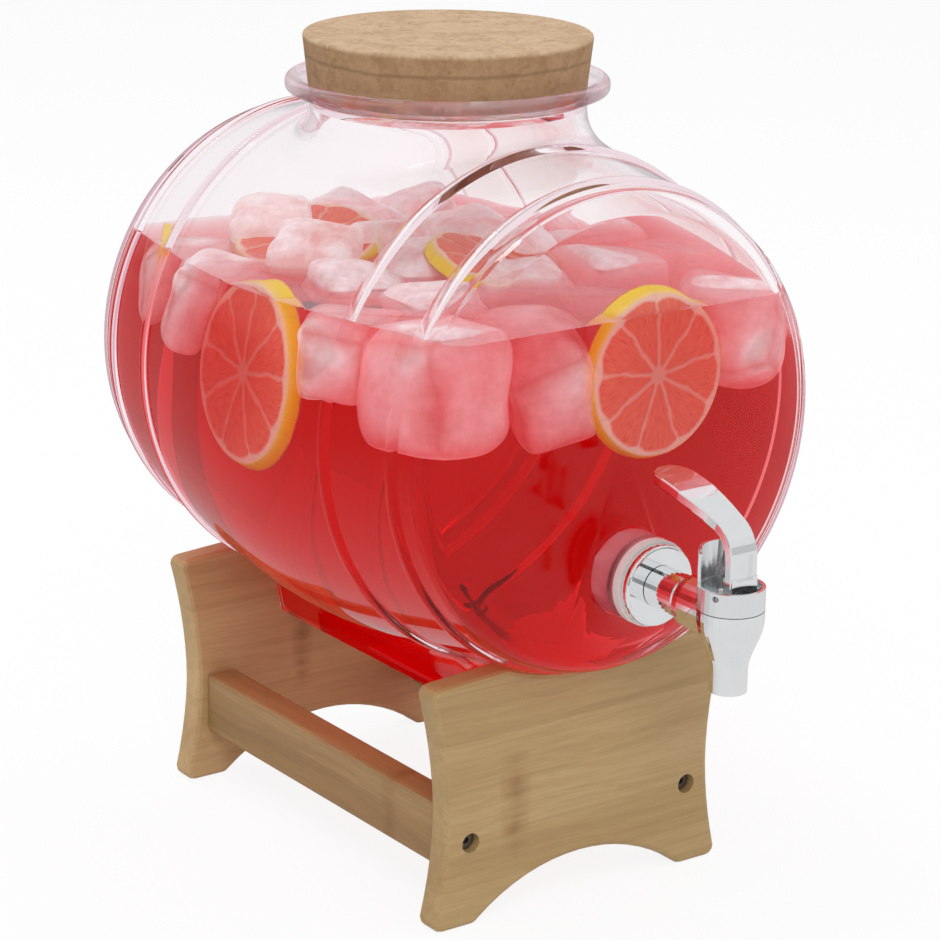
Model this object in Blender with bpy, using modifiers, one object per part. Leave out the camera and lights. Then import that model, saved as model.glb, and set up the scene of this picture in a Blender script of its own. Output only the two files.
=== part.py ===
"""Glass juice dispenser: a glass barrel with a cork lid and a lever tap, lying in a bamboo stand.

Metres, +Z up. The floor is z = 0, X runs across the barrel, and the tap looks along -Y.
The origin is under the middle of the whole object.
"""

import math

import bmesh
import bpy

# Gaps between pieces that touch or run in each other
CLEARANCE = 0.0003
OVERRUN = 0.004
WELD = 1e-7

# Glass barrel
BARREL_HALF_LENGTH = 0.1195
BELLY_RADIUS = 0.1096
END_DROP = 0.0151
BELLY_CROWN = 0.009
END_CORNER = 0.008
WALL = 0.004
END_WALL = 0.005
INNER_CORNER = 0.006
HOOP_WIDTH = 0.0062
HOOP_RISE = 0.0019
INNER_HOOP_GAP = 0.0187
OUTER_HOOP_INSET = 0.0169

# Glass foot under the belly
FOOT_DEPTH = 0.0124
FOOT_END_GAP = 0.004
FOOT_HALF_WIDTH = 0.036
FOOT_TAPER = 0.0055
FOOT_END_TAPER = 0.003
FOOT_EDGE = 0.0025
FOOT_ROOT_DEPTH = 0.022
FOOT_SEAM_HEIGHT = 0.0146

# Neck and mouth
NECK_RISE = 0.0122
NECK_RADIUS = 0.0556
NECK_FLARE = 0.0045
NECK_FLARE_START = 0.003
NECK_FLARE_LENGTH = 0.016
NECK_ROOT = 0.03
NECK_SKIRT = 0.0015
NECK_SEAM_RISE = 0.0025
LIP_RADIUS = 0.0647
LIP_HEIGHT = 0.0062
LIP_ROUND = 0.0018
MOUTH_RADIUS = 0.0606
MOUTH_DEPTH = 0.0125
BORE_RADIUS = 0.0512

# Cork lid
CORK_HEIGHT = 0.0235
CORK_TOP_RADIUS = 0.0577
CORK_SEAT_RADIUS = 0.0552
CORK_EDGE = 0.0012

# Boss for the tap on the front end of the glass
TAP_ABOVE_END_EDGE = 0.0425
BOSS_LENGTH = 0.0154
BOSS_RADIUS = 0.0173
BOSS_ROOT_RADIUS = 0.0175
BOSS_EDGE = 0.0015
BOSS_FACE_WALL = 0.006
BOSS_RECESS_RADIUS = 0.0128

# Tap: washers, flange and shank
OUTER_GASKET_RADIUS = 0.0171
OUTER_GASKET_THICKNESS = 0.0036
FLANGE_RADIUS = 0.016
FLANGE_THICKNESS = 0.0038
FLANGE_EDGE = 0.0012
INNER_GASKET_RADIUS = 0.0112
INNER_GASKET_THICKNESS = 0.003
NUT_ACROSS_CORNERS = 0.0238
NUT_THICKNESS = 0.008
THREAD_RADIUS = 0.0062
THREAD_TAIL = 0.003
SHANK_BORE_RADIUS = 0.0042
FRONT_SHANK_RADIUS = 0.0083
FRONT_SHANK_LENGTH = 0.0184
COLLAR_RADIUS = 0.0104
COLLAR_LENGTH = 0.0223
COLLAR_LEAD = 0.003

# Tap: valve chamber and nozzle, measured from the tap's axis
VALVE_RADIUS = 0.0127
SEAM_RISE = 0.0037
RIM_RISE = 0.0124
TAPER_LENGTH = 0.0205
NOZZLE_LENGTH = 0.0083
NOZZLE_RADIUS = 0.0072
NOZZLE_BORE_RADIUS = 0.0059
CHAMBER_RADIUS = 0.0098
CHAMBER_CONE_DROP = 0.006
SEAT_DROP = 0.0145
SEAT_RADIUS = 0.0064
SEAT_BORE_RADIUS = 0.0042
SEAT_THICKNESS = 0.002

# Bonnet
BONNET_WALL = 0.0014
BONNET_FLOOR = 0.0018
SKIRT_LENGTH = 0.002
RING_GROOVE_RADIUS = 0.0029
RING_GROOVE_HEIGHT = 0.0018
RING_GROOVE_DROP = 0.001
GUARD_HEIGHT = 0.0141
GUARD_THICKNESS = 0.0012
GUARD_ROOT = 0.003
GUARD_TOP_ANGLE = math.radians(64)
GUARD_FOOT_ANGLE = math.radians(36)
GUARD_CROWN_SHARE = 0.1

# Lever and its pin
PIN_AHEAD = 0.0048
PIN_BELOW_RIM = 0.0021
PIN_RADIUS = 0.0009
PIN_INSET = 0.0006
LEVER_WIDTH = 0.0126
LEVER_THICKNESS = 0.004
LEVER_STEM_HEIGHT = 0.0135
LEVER_BEND_RADIUS = 0.0125
PADDLE_WIDTH = 0.0168
PADDLE_RUN = 0.0395
PADDLE_RISE = 0.0102
PADDLE_CROWN_SHARE = 0.65
LEVER_EDGE = 0.0009
STEM_BLOCK_WIDTH = 0.0122
STEM_BLOCK_DEPTH = 0.0048
STEM_BLOCK_HEIGHT = 0.0095
STEM_BLOCK_BELOW_PIN = 0.0027
POCKET_WIDTH = 0.0078
POCKET_DEPTH = 0.0016
POCKET_BASE = 0.0056
POCKET_HEIGHT = 0.0098
HEEL_REACH = 0.006
HEEL_THICKNESS = 0.002
HEEL_BELOW_PIN = 0.0007
HEEL_SLOT_WIDTH = 0.0044
HEEL_SLOT_DEPTH = 0.0022
HEEL_SLOT_HEIGHT = 0.0045

# Valve stem, seal, ring and spring
STEM_RADIUS = 0.0013
STEM_TAIL = 0.002
CROSSBAR_LENGTH = 0.0104
CROSSBAR_WIDTH = 0.0026
CROSSBAR_HEIGHT = 0.0015
SPRING_PLATE_RADIUS = 0.0048
SPRING_PLATE_THICKNESS = 0.0012
SEAL_RADIUS = 0.0058
SEAL_THICKNESS = 0.0032
SEAL_NOSE_RADIUS = 0.0032
SEAL_NOSE_LENGTH = 0.0016
SPRING_RADIUS = 0.0036
SPRING_WIRE_RADIUS = 0.0004
SPRING_TURNS = 6
SPRING_POINTS_PER_TURN = 12

# Stand
BOARD_INSET = 0.02
STAND_SHIFT = 0.002
CRADLE_HEIGHT = 0.0964
HORN_RISE = 0.007
HORN_CREST_WIDTH = 0.0015
CORNER_DROP = 0.0018
BOARD_THICKNESS = 0.012
BOARD_TOP_WIDTH = 0.1444
BOARD_WAIST_WIDTH = 0.1296
BOARD_FOOT_WIDTH = 0.1412
WAIST_HEIGHT = 0.046
BOARD_CORNER = 0.004
BOARD_EDGE = 0.002
ARCH_WIDTH = 0.103
ARCH_HEIGHT = 0.0185
TOE_RADIUS = 0.004
RAIL_WIDTH = 0.014
RAIL_HEIGHT = 0.026
RAIL_INSET = 0.0108
RAIL_CENTRE_HEIGHT = 0.0352
RAIL_EDGE = 0.0014

# Screws and dowels of the stand
SCREW_RADIUS = 0.0021
SCREW_GRIP = 0.024
SCREW_POINT = 0.003
SCREW_HEAD_RADIUS = 0.0037
SCREW_HEAD_HEIGHT = 0.003
SCREW_SOCKET_RADIUS = 0.0017
SCREW_SOCKET_DEPTH = 0.0018
SCREW_HOLE_DEPTH = 0.007
SCREW_HOLE_RADIUS = 0.0041
DOWEL_RADIUS = 0.0025
DOWEL_DROP = 0.0078
DOWEL_IN_BOARD = 0.0065
DOWEL_IN_RAIL = 0.012
DOWEL_CHAMFER = 0.0006

# Sizes and places worked out from the sizes above
END_RADIUS = BELLY_RADIUS - END_DROP
TAP_DROP = END_RADIUS - TAP_ABOVE_END_EDGE
STAND_LENGTH = 2 * (BARREL_HALF_LENGTH - BOARD_INSET)
RAIL_SPACING = BOARD_WAIST_WIDTH - 2 * RAIL_INSET
INNER_FACE_REACH = STAND_LENGTH / 2 - BOARD_THICKNESS - STAND_SHIFT
OUTER_FACE_REACH = STAND_LENGTH / 2 + STAND_SHIFT
INNER_HOOP_PLACE = INNER_FACE_REACH - INNER_HOOP_GAP
OUTER_HOOP_PLACE = BARREL_HALF_LENGTH - OUTER_HOOP_INSET
FOOT_HALF_LENGTH = INNER_FACE_REACH - FOOT_END_GAP
FLANK_RUN = BARREL_HALF_LENGTH - END_CORNER
FLANK_SLOPE = math.sqrt((BELLY_RADIUS - END_RADIUS + BELLY_CROWN) ** 2 - BELLY_CROWN**2) / FLANK_RUN
TAP_STACK = BOSS_LENGTH + OUTER_GASKET_THICKNESS + FLANGE_THICKNESS + 3 * CLEARANCE
VALVE_REACH = TAP_STACK + FRONT_SHANK_LENGTH + COLLAR_LENGTH
FRONT_REACH = BARREL_HALF_LENGTH + VALVE_REACH + VALVE_RADIUS
BARREL_Y = (FRONT_REACH - BARREL_HALF_LENGTH) / 2
STAND_Y = BARREL_Y + STAND_SHIFT
FRONT_FACE_Y = BARREL_Y - BARREL_HALF_LENGTH


def belly_radius(along):
    """Outer radius of the barrel without its hoops, at a distance from its middle: a crown that runs out straight."""
    return BELLY_RADIUS + BELLY_CROWN - math.hypot(BELLY_CROWN, FLANK_SLOPE * along)


def hoop_rise(along):
    """How far a hoop stands off the belly at a distance from the barrel's middle."""
    nearest = min(abs(abs(along) - place) for place in (INNER_HOOP_PLACE, OUTER_HOOP_PLACE))
    if nearest >= HOOP_WIDTH / 2:
        return 0
    return HOOP_RISE * math.cos(math.pi * nearest / HOOP_WIDTH)


def cradle_radius():
    """The widest place of the barrel over the thickness of a board, with the clearance added."""
    depth = OUTER_FACE_REACH - INNER_FACE_REACH
    spots = [INNER_FACE_REACH + depth * i / 24 for i in range(25)]
    return max(belly_radius(spot) + hoop_rise(spot) for spot in spots) + CLEARANCE


CRADLE_RADIUS = cradle_radius()
AXIS_Z = CRADLE_HEIGHT + CRADLE_RADIUS
HORN_Z = CRADLE_HEIGHT + HORN_RISE
BELLY_TOP_Z = AXIS_Z + BELLY_RADIUS
FOOT_Z = AXIS_Z - BELLY_RADIUS - FOOT_DEPTH
RIM_Z = BELLY_TOP_Z + NECK_RISE
MOUTH_SLOPE = (MOUTH_RADIUS - BORE_RADIUS) / MOUTH_DEPTH
CORK_Z = RIM_Z - (MOUTH_RADIUS - CORK_SEAT_RADIUS - CLEARANCE) / MOUTH_SLOPE
TAP_Z = AXIS_Z - TAP_DROP
VALVE_Y = FRONT_FACE_Y - VALVE_REACH
BOSS_FACE_Y = FRONT_FACE_Y - BOSS_LENGTH
SEAM_Z = TAP_Z + SEAM_RISE
BONNET_RIM_Z = TAP_Z + RIM_RISE
SEAT_Z = TAP_Z - SEAT_DROP
PIN_Y = VALVE_Y - PIN_AHEAD
PIN_Z = BONNET_RIM_Z - PIN_BELOW_RIM
HEEL_TOP_Z = PIN_Z - HEEL_BELOW_PIN
PLATE_Z = SEAT_Z + CLEARANCE + SEAL_THICKNESS + CLEARANCE
SPRING_TOP_Z = SEAM_Z - SKIRT_LENGTH - CLEARANCE
THREAD_LENGTH = (
    OUTER_GASKET_THICKNESS + FLANGE_THICKNESS + BOSS_FACE_WALL + INNER_GASKET_THICKNESS + NUT_THICKNESS
    + 4 * CLEARANCE + THREAD_TAIL
)
FORWARD = (math.pi / 2, 0, 0)

for old in list(bpy.data.objects):
    bpy.data.objects.remove(old)

parts = bpy.data.collections.new("juice_dispenser")
cutters = bpy.data.collections.new("cutters")
for group in (parts, cutters):
    bpy.context.scene.collection.children.link(group)


def material(name, colour, roughness, metallic=0.0, clear_share=0.0):
    made = bpy.data.materials.new(name)
    made.use_nodes = True
    shader = made.node_tree.nodes["Principled BSDF"]
    shader.inputs["Base Color"].default_value = (*colour, 1)
    shader.inputs["Roughness"].default_value = roughness
    shader.inputs["Metallic"].default_value = metallic
    shader.inputs["Transmission Weight"].default_value = clear_share
    return made


GLASS = material("clear_glass", (0.93, 0.95, 0.95), 0.03, clear_share=1.0)
CORK = material("cork", (0.56, 0.39, 0.23), 0.85)
BAMBOO = material("bamboo", (0.52, 0.36, 0.18), 0.5)
DOWEL_WOOD = material("dowel_wood", (0.6, 0.45, 0.28), 0.6)
CHROME = material("chrome", (0.82, 0.83, 0.85), 0.08, metallic=1.0)
STEEL = material("steel", (0.6, 0.6, 0.6), 0.35, metallic=1.0)
SILICONE = material("silicone", (0.85, 0.84, 0.82), 0.4)
WHITE_PLASTIC = material("white_plastic", (0.85, 0.85, 0.84), 0.35)


def add(name, mesh, look=None, location=(0, 0, 0), rotation=(0, 0, 0)):
    """Links a new object: a part of the dispenser if it has a material, and otherwise a cutter."""
    made = bpy.data.objects.new(name, mesh)
    made.location = location
    made.rotation_euler = rotation
    if look:
        mesh.materials.append(look)
        parts.objects.link(made)
    else:
        cutters.objects.link(made)
        made.hide_render = True
        made.display_type = "WIRE"
    return made


def smooth(mesh, angle=math.radians(35)):
    mesh.shade_smooth()
    mesh.set_sharp_from_angle(angle=angle)


def turned(name, outline, steps, look=None, location=(0, 0, 0), rotation=(0, 0, 0)):
    """A turned piece: the outline's (radius, height) points run down its outer side. An outline whose first and
    last points are off the axis is a ring."""
    mesh = bpy.data.meshes.new(name)
    points = [(radius, 0, height) for radius, height in outline]
    edges = [(i, i + 1) for i in range(len(points) - 1)]
    if outline[0][0] > 0:
        edges.append((len(points) - 1, 0))
    mesh.from_pydata(points, edges, [])
    made = add(name, mesh, look, location, rotation)
    screw = made.modifiers.new("turn", "SCREW")
    screw.steps = steps
    screw.render_steps = steps
    screw.use_merge_vertices = True
    screw.merge_threshold = WELD
    screw.use_smooth_shade = True
    return made


def cylinder(name, radius, length, steps, look=None, location=(0, 0, 0), rotation=(0, 0, 0)):
    """A cylinder that is centred on its location and stands along its own Z."""
    mesh = bpy.data.meshes.new(name)
    cage = bmesh.new()
    bmesh.ops.create_cone(cage, cap_ends=True, segments=steps, radius1=radius, radius2=radius, depth=length)
    cage.to_mesh(mesh)
    cage.free()
    smooth(mesh)
    return add(name, mesh, look, location, rotation)


def block(name, size, look=None, location=(0, 0, 0), rotation=(0, 0, 0)):
    """A box that is centred on its location."""
    mesh = bpy.data.meshes.new(name)
    cage = bmesh.new()
    bmesh.ops.create_cube(cage, size=1)
    bmesh.ops.scale(cage, vec=size, verts=cage.verts)
    cage.to_mesh(mesh)
    cage.free()
    return add(name, mesh, look, location, rotation)


def cut(target, tool, operation="DIFFERENCE"):
    boolean = target.modifiers.new(tool.name, "BOOLEAN")
    boolean.operation = operation
    boolean.object = tool
    return target


def bevel(target, width, segments, angle=math.radians(40)):
    edge = target.modifiers.new("edges", "BEVEL")
    edge.width = width
    edge.segments = segments
    edge.limit_method = "ANGLE"
    edge.angle_limit = angle
    return target


def axle_empty(name, location):
    made = bpy.data.objects.new(name, None)
    made.location = location
    parts.objects.link(made)
    return made


def attach(parent, *children):
    """Parents the children without moving them."""
    bpy.context.view_layer.update()
    for child in children:
        child.parent = parent
        child.matrix_parent_inverse = parent.matrix_world.inverted()


def arc(centre, radius, start, end, count):
    """Points of an arc in a plane, both ends included; the angles are in radians."""
    turns = [start + (end - start) * i / count for i in range(count + 1)]
    return [(centre[0] + radius * math.cos(turn), centre[1] + radius * math.sin(turn)) for turn in turns]


def barrel_stations():
    """Distances from the barrel's middle, front end to rear end, closer together across each hoop."""
    plain = [FLANK_RUN * i / 5 for i in range(6)]
    stations = set(plain)
    for place in (INNER_HOOP_PLACE, OUTER_HOOP_PLACE):
        near = [place + HOOP_WIDTH * (i / 4 - 0.5) for i in range(5)]
        stations = {s for s in stations if abs(s - place) > HOOP_WIDTH} | set(near)
    half = sorted(s for s in stations if s < FLANK_RUN) + [FLANK_RUN]
    return list(reversed(half)) + [-s for s in half if s > 0]


def barrel_outline():
    """Outer outline of the barrel, from the middle of its front end to the middle of its rear end."""
    corner_radius = belly_radius(FLANK_RUN) - END_CORNER
    front = arc((corner_radius, FLANK_RUN), END_CORNER, math.pi / 2, 0, 4)
    rear = [(radius, -along) for radius, along in reversed(front)]
    flank = [(belly_radius(s) + hoop_rise(s), s) for s in barrel_stations()]
    return [(0, BARREL_HALF_LENGTH)] + front[:-1] + flank + rear[1:] + [(0, -BARREL_HALF_LENGTH)]


def barrel_hollow_outline():
    """Outline of the space inside, a wall thickness in from the belly."""
    half = BARREL_HALF_LENGTH - END_WALL
    flank_end = half - INNER_CORNER
    corner_radius = belly_radius(flank_end) - WALL - INNER_CORNER
    front = arc((corner_radius, flank_end), INNER_CORNER, math.pi / 2, 0, 3)
    rear = [(radius, -along) for radius, along in reversed(front)]
    stations = [flank_end * (1 - i / 4) for i in range(1, 8)]
    flank = [(belly_radius(s) - WALL, s) for s in stations]
    return [(0, half)] + front + flank + rear + [(0, -half)]


def foot_block(name, inset):
    """The foot's outline, with every face drawn in by the inset. It reaches up into the belly."""
    top_z = FOOT_Z + FOOT_DEPTH + FOOT_ROOT_DEPTH
    bottom_z = FOOT_Z + inset
    height = top_z - bottom_z
    drop_share = height / (FOOT_DEPTH + FOOT_ROOT_DEPTH)
    mesh = bpy.data.meshes.new(name)
    cage = bmesh.new()
    bmesh.ops.create_cube(cage, size=1)
    for corner in cage.verts:
        low = corner.co.z < 0
        side = FOOT_HALF_WIDTH - inset - (FOOT_TAPER * drop_share if low else 0)
        end = FOOT_HALF_LENGTH - inset - (FOOT_END_TAPER * drop_share if low else 0)
        corner.co.x = math.copysign(side, corner.co.x)
        corner.co.y = math.copysign(end, corner.co.y)
        corner.co.z = math.copysign(height / 2, corner.co.z)
    cage.to_mesh(mesh)
    cage.free()
    made = add(name, mesh, location=(0, BARREL_Y, bottom_z + height / 2))
    return bevel(made, FOOT_EDGE, 2)


def neck_outline():
    """Outer outline of the neck: a rounded lip, a short wall, and a flare that the belly's sides run into."""
    top = arc((LIP_RADIUS - LIP_ROUND, RIM_Z - LIP_ROUND), LIP_ROUND, math.pi / 2, 0, 3)
    under = arc((LIP_RADIUS - LIP_ROUND, RIM_Z - LIP_HEIGHT + LIP_ROUND), LIP_ROUND, 0, -math.pi / 2, 3)
    flare_z = BELLY_TOP_Z - NECK_FLARE_START
    flare = [
        (NECK_RADIUS + NECK_FLARE * (i / 4) ** 2, flare_z - NECK_FLARE_LENGTH * i / 4) for i in range(5)
    ]
    wall_top = (NECK_RADIUS, RIM_Z - LIP_HEIGHT - (LIP_RADIUS - NECK_RADIUS) / 3)
    foot_z = BELLY_TOP_Z - NECK_ROOT
    return [(0, RIM_Z)] + top + under + [wall_top] + flare + [(NECK_RADIUS, foot_z), (0, foot_z)]


def mouth_outline():
    """The bore down through the neck, with the cone that the cork sits in and a rounded inner rim."""
    above = RIM_Z + OVERRUN
    cone_foot = RIM_Z - MOUTH_DEPTH
    below = AXIS_Z + BORE_RADIUS
    rim = MOUTH_RADIUS + MOUTH_SLOPE * OVERRUN
    return [(0, above), (rim, above), (BORE_RADIUS, cone_foot), (BORE_RADIUS, below), (0, below)]


def boss_outline():
    """The boss on the front end of the glass, from its face back into the end wall."""
    face = arc((BOSS_RADIUS - BOSS_EDGE, BOSS_LENGTH - BOSS_EDGE), BOSS_EDGE, math.pi / 2, 0, 3)
    spread = BOSS_ROOT_RADIUS - BOSS_RADIUS
    side = [
        (BOSS_RADIUS + spread * (1 - math.cos(math.pi / 2 * i / 4)), (BOSS_LENGTH - BOSS_EDGE) * (1 - i / 4))
        for i in range(1, 5)
    ]
    back = -END_WALL / 2
    return [(0, BOSS_LENGTH)] + face + side + [(BOSS_ROOT_RADIUS, back), (0, back)]


def neck_side_form(name, gap):
    """Everything on the neck's side of its seam: the lip, the wall and a skirt of the belly round its root."""
    above = RIM_Z + OVERRUN
    skirt = NECK_RADIUS + NECK_FLARE + NECK_SKIRT + gap
    wide = LIP_RADIUS + OVERRUN
    step_z = BELLY_TOP_Z + NECK_SEAM_RISE - gap
    outline = [(0, above), (wide, above), (wide, step_z), (skirt, step_z), (skirt, AXIS_Z), (0, AXIS_Z)]
    return turned(name, outline, 64, location=(0, BARREL_Y, 0))


def foot_side_form(name, gap):
    """Everything on the foot's side of its level seam."""
    height = FOOT_SEAM_HEIGHT + gap + OVERRUN
    size = (2 * (FOOT_HALF_WIDTH + OVERRUN), 2 * (FOOT_HALF_LENGTH + OVERRUN), height)
    return block(name, size, location=(0, BARREL_Y, FOOT_Z + FOOT_SEAM_HEIGHT + gap - height / 2))


def front_side_form(name, gap):
    """Everything in front of the barrel's middle."""
    reach = BARREL_HALF_LENGTH + BOSS_LENGTH + OVERRUN
    side = 2 * (BELLY_RADIUS + NECK_RISE)
    return block(name, (side, reach + gap, side), location=(0, BARREL_Y + (gap - reach) / 2, AXIS_Z))


def glass_pieces():
    """The glass is made whole and then cut at its middle and at the root of its neck and of its foot."""
    whole = whole_glass()
    graph = bpy.context.evaluated_depsgraph_get()
    pieces = []
    for name in ("glass_barrel", "glass_front", "glass_neck", "glass_foot"):
        mesh = bpy.data.meshes.new_from_object(whole.evaluated_get(graph))
        mesh.name = name
        mesh.materials.clear()
        pieces.append(add(name, mesh, GLASS, whole.location, whole.rotation_euler))
    bpy.data.objects.remove(whole)
    barrel, front, neck, foot = pieces
    for side in (barrel, front):
        cut(side, neck_side_form("neck_way", CLEARANCE))
        cut(side, foot_side_form("foot_way", CLEARANCE))
    cut(barrel, front_side_form("front_way", CLEARANCE))
    cut(front, front_side_form("front_side", 0), "INTERSECT")
    cut(neck, neck_side_form("neck_side", 0), "INTERSECT")
    cut(foot, foot_side_form("foot_side", 0), "INTERSECT")
    return pieces


def whole_glass():
    centre = (0, BARREL_Y, AXIS_Z)
    glass = turned("whole_glass", barrel_outline(), 48, GLASS, centre, FORWARD)
    neck = turned("neck_form", neck_outline(), 48, location=(0, BARREL_Y, 0))
    boss = turned("boss_form", boss_outline(), 32, location=(0, FRONT_FACE_Y, TAP_Z), rotation=FORWARD)
    for form in (neck, foot_block("foot_form", 0), boss):
        cut(glass, form, "UNION")
    cut(glass, turned("hollow", barrel_hollow_outline(), 48, location=centre, rotation=FORWARD))
    cut(glass, turned("mouth", mouth_outline(), 48, location=(0, BARREL_Y, 0)))
    cut(glass, foot_block("foot_hollow", WALL))
    recess_depth = BOSS_LENGTH + END_WALL + OVERRUN - BOSS_FACE_WALL
    recess_y = BOSS_FACE_Y + BOSS_FACE_WALL + recess_depth / 2
    cut(glass, cylinder("boss_recess", BOSS_RECESS_RADIUS, recess_depth, 24,
                        location=(0, recess_y, TAP_Z), rotation=FORWARD))
    hole_length = BOSS_FACE_WALL + 2 * OVERRUN
    cut(glass, cylinder("tap_hole", THREAD_RADIUS + 2 * CLEARANCE, hole_length, 24,
                        location=(0, BOSS_FACE_Y + BOSS_FACE_WALL / 2, TAP_Z), rotation=FORWARD))
    return glass


def cork_lid():
    top = CORK_Z + CORK_HEIGHT
    crown = arc((CORK_TOP_RADIUS - CORK_EDGE, top - CORK_EDGE), CORK_EDGE, math.pi / 2, 0, 3)
    outline = [(0, top)] + crown + [(CORK_SEAT_RADIUS, CORK_Z), (0, CORK_Z)]
    outline = [(radius, height - CORK_Z) for radius, height in outline]
    return turned("cork_lid", outline, 56, CORK, location=(0, BARREL_Y, CORK_Z))


def board_half_outline():
    """Right half of an end board's outline, from the middle of the arch to the middle of the cradle."""
    foot = BOARD_FOOT_WIDTH / 2
    top = BOARD_TOP_WIDTH / 2
    waist = BOARD_WAIST_WIDTH / 2
    corner_z = HORN_Z - CORNER_DROP
    half_arch = ARCH_WIDTH / 2
    arch_radius = (half_arch**2 + ARCH_HEIGHT**2) / (2 * ARCH_HEIGHT)
    arch_turn = math.asin(half_arch / arch_radius)
    toe_run = TOE_RADIUS * math.tan(arch_turn / 2)
    toe_share = 1 - 2 * toe_run / (arch_radius * arch_turn)
    arch = [
        (arch_radius * math.sin(turn), ARCH_HEIGHT - arch_radius * (1 - math.cos(turn)))
        for turn in (arch_turn * toe_share * i / 8 for i in range(9))
    ]
    toe = arc((half_arch + toe_run, TOE_RADIUS), TOE_RADIUS, -math.pi / 2 - arch_turn, -math.pi / 2, 2)
    heel = arc((foot - BOARD_CORNER, BOARD_CORNER), BOARD_CORNER, -math.pi / 2, 0, 3)
    side = []
    for i in range(1, 12):
        height = BOARD_CORNER + (corner_z - 2 * BOARD_CORNER) * i / 12
        below = height < WAIST_HEIGHT
        span = WAIST_HEIGHT - BOARD_CORNER if below else corner_z - BOARD_CORNER - WAIST_HEIGHT
        share = min(1, abs(height - WAIST_HEIGHT) / span)
        side.append((waist + ((foot if below else top) - waist) * share**1.8, height))
    shoulder = arc((top - BOARD_CORNER, corner_z - BOARD_CORNER), BOARD_CORNER, 0, math.pi / 2, 3)
    cradle_half = math.sqrt(CRADLE_RADIUS**2 - (AXIS_Z - HORN_Z) ** 2)
    horn = [(cradle_half + HORN_CREST_WIDTH, HORN_Z), (cradle_half, HORN_Z)]
    cradle_turn = math.asin(cradle_half / CRADLE_RADIUS)
    cradle = [
        (CRADLE_RADIUS * math.sin(turn), AXIS_Z - CRADLE_RADIUS * math.cos(turn))
        for turn in (cradle_turn * (1 - i / 8) for i in range(1, 9))
    ]
    return arch + toe + heel + side + shoulder + horn + cradle


def flat_mesh(name, outline, thickness):
    """Mesh of a flat outline in the XZ plane, centred on its thickness."""
    flat = bpy.data.curves.new(name, "CURVE")
    flat.dimensions = "2D"
    flat.fill_mode = "BOTH"
    flat.extrude = thickness / 2
    spline = flat.splines.new("POLY")
    spline.points.add(len(outline) - 1)
    for point, place in zip(spline.points, outline):
        point.co = (*place, 0, 1)
    spline.use_cyclic_u = True
    drawn = bpy.data.objects.new(name, flat)
    drawn.rotation_euler = FORWARD
    cutters.objects.link(drawn)
    graph = bpy.context.evaluated_depsgraph_get()
    mesh = bpy.data.meshes.new_from_object(drawn.evaluated_get(graph))
    mesh.transform(drawn.matrix_world)
    bpy.data.objects.remove(drawn)
    cage = bmesh.new()
    cage.from_mesh(mesh)
    bmesh.ops.remove_doubles(cage, verts=cage.verts, dist=WELD)
    bmesh.ops.dissolve_limit(cage, angle_limit=math.radians(1), verts=cage.verts, edges=cage.edges)
    bmesh.ops.recalc_face_normals(cage, faces=cage.faces)
    cage.to_mesh(mesh)
    cage.free()
    mesh.name = name
    return mesh


def end_board(name, end):
    """One end board; end is -1 at the tap and 1 at the rear. Screws enter it from outside and dowels from inside."""
    half = board_half_outline()
    outline = half + [(-x, z) for x, z in reversed(half) if x > 0]
    y = STAND_Y + end * (STAND_LENGTH - BOARD_THICKNESS) / 2
    board = add(name, flat_mesh(name, outline, BOARD_THICKNESS), BAMBOO, (0, y, 0))
    bevel(board, BOARD_EDGE, 2, math.radians(60))
    outer_y = y + end * BOARD_THICKNESS / 2
    inner_y = y - end * BOARD_THICKNESS / 2
    for side in (-1, 1):
        x = side * RAIL_SPACING / 2
        tag = f"{name}_{'left' if side < 0 else 'right'}"
        sunk = SCREW_HOLE_DEPTH + OVERRUN
        cut(board, cylinder(f"{tag}_sink", SCREW_HOLE_RADIUS, sunk, 24,
                            location=(x, outer_y - end * (SCREW_HOLE_DEPTH - OVERRUN) / 2, RAIL_CENTRE_HEIGHT),
                            rotation=FORWARD))
        cut(board, cylinder(f"{tag}_pilot", SCREW_RADIUS + CLEARANCE, BOARD_THICKNESS + 2 * OVERRUN, 16,
                            location=(x, y, RAIL_CENTRE_HEIGHT), rotation=FORWARD))
        socket = DOWEL_IN_BOARD + CLEARANCE
        cut(board, cylinder(f"{tag}_socket", DOWEL_RADIUS + CLEARANCE, socket + OVERRUN, 16,
                            location=(x, inner_y + end * (socket - OVERRUN) / 2, RAIL_CENTRE_HEIGHT - DOWEL_DROP),
                            rotation=FORWARD))
    return board


def rail(name, side):
    length = STAND_LENGTH - 2 * BOARD_THICKNESS - 2 * CLEARANCE
    x = side * RAIL_SPACING / 2
    made = block(name, (RAIL_WIDTH, length, RAIL_HEIGHT), BAMBOO, (x, STAND_Y, RAIL_CENTRE_HEIGHT))
    bevel(made, RAIL_EDGE, 2)
    for end in (-1, 1):
        tag = f"{name}_{'front' if end < 0 else 'rear'}"
        face_y = STAND_Y + end * length / 2
        grip = SCREW_GRIP + CLEARANCE
        cut(made, cylinder(f"{tag}_pilot", SCREW_RADIUS + CLEARANCE, grip + OVERRUN, 16,
                           location=(x, face_y - end * (grip - OVERRUN) / 2, RAIL_CENTRE_HEIGHT), rotation=FORWARD))
        socket = DOWEL_IN_RAIL + CLEARANCE
        cut(made, cylinder(f"{tag}_socket", DOWEL_RADIUS + CLEARANCE, socket + OVERRUN, 16,
                           location=(x, face_y - end * (socket - OVERRUN) / 2, RAIL_CENTRE_HEIGHT - DOWEL_DROP),
                           rotation=FORWARD))
    return made


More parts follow.
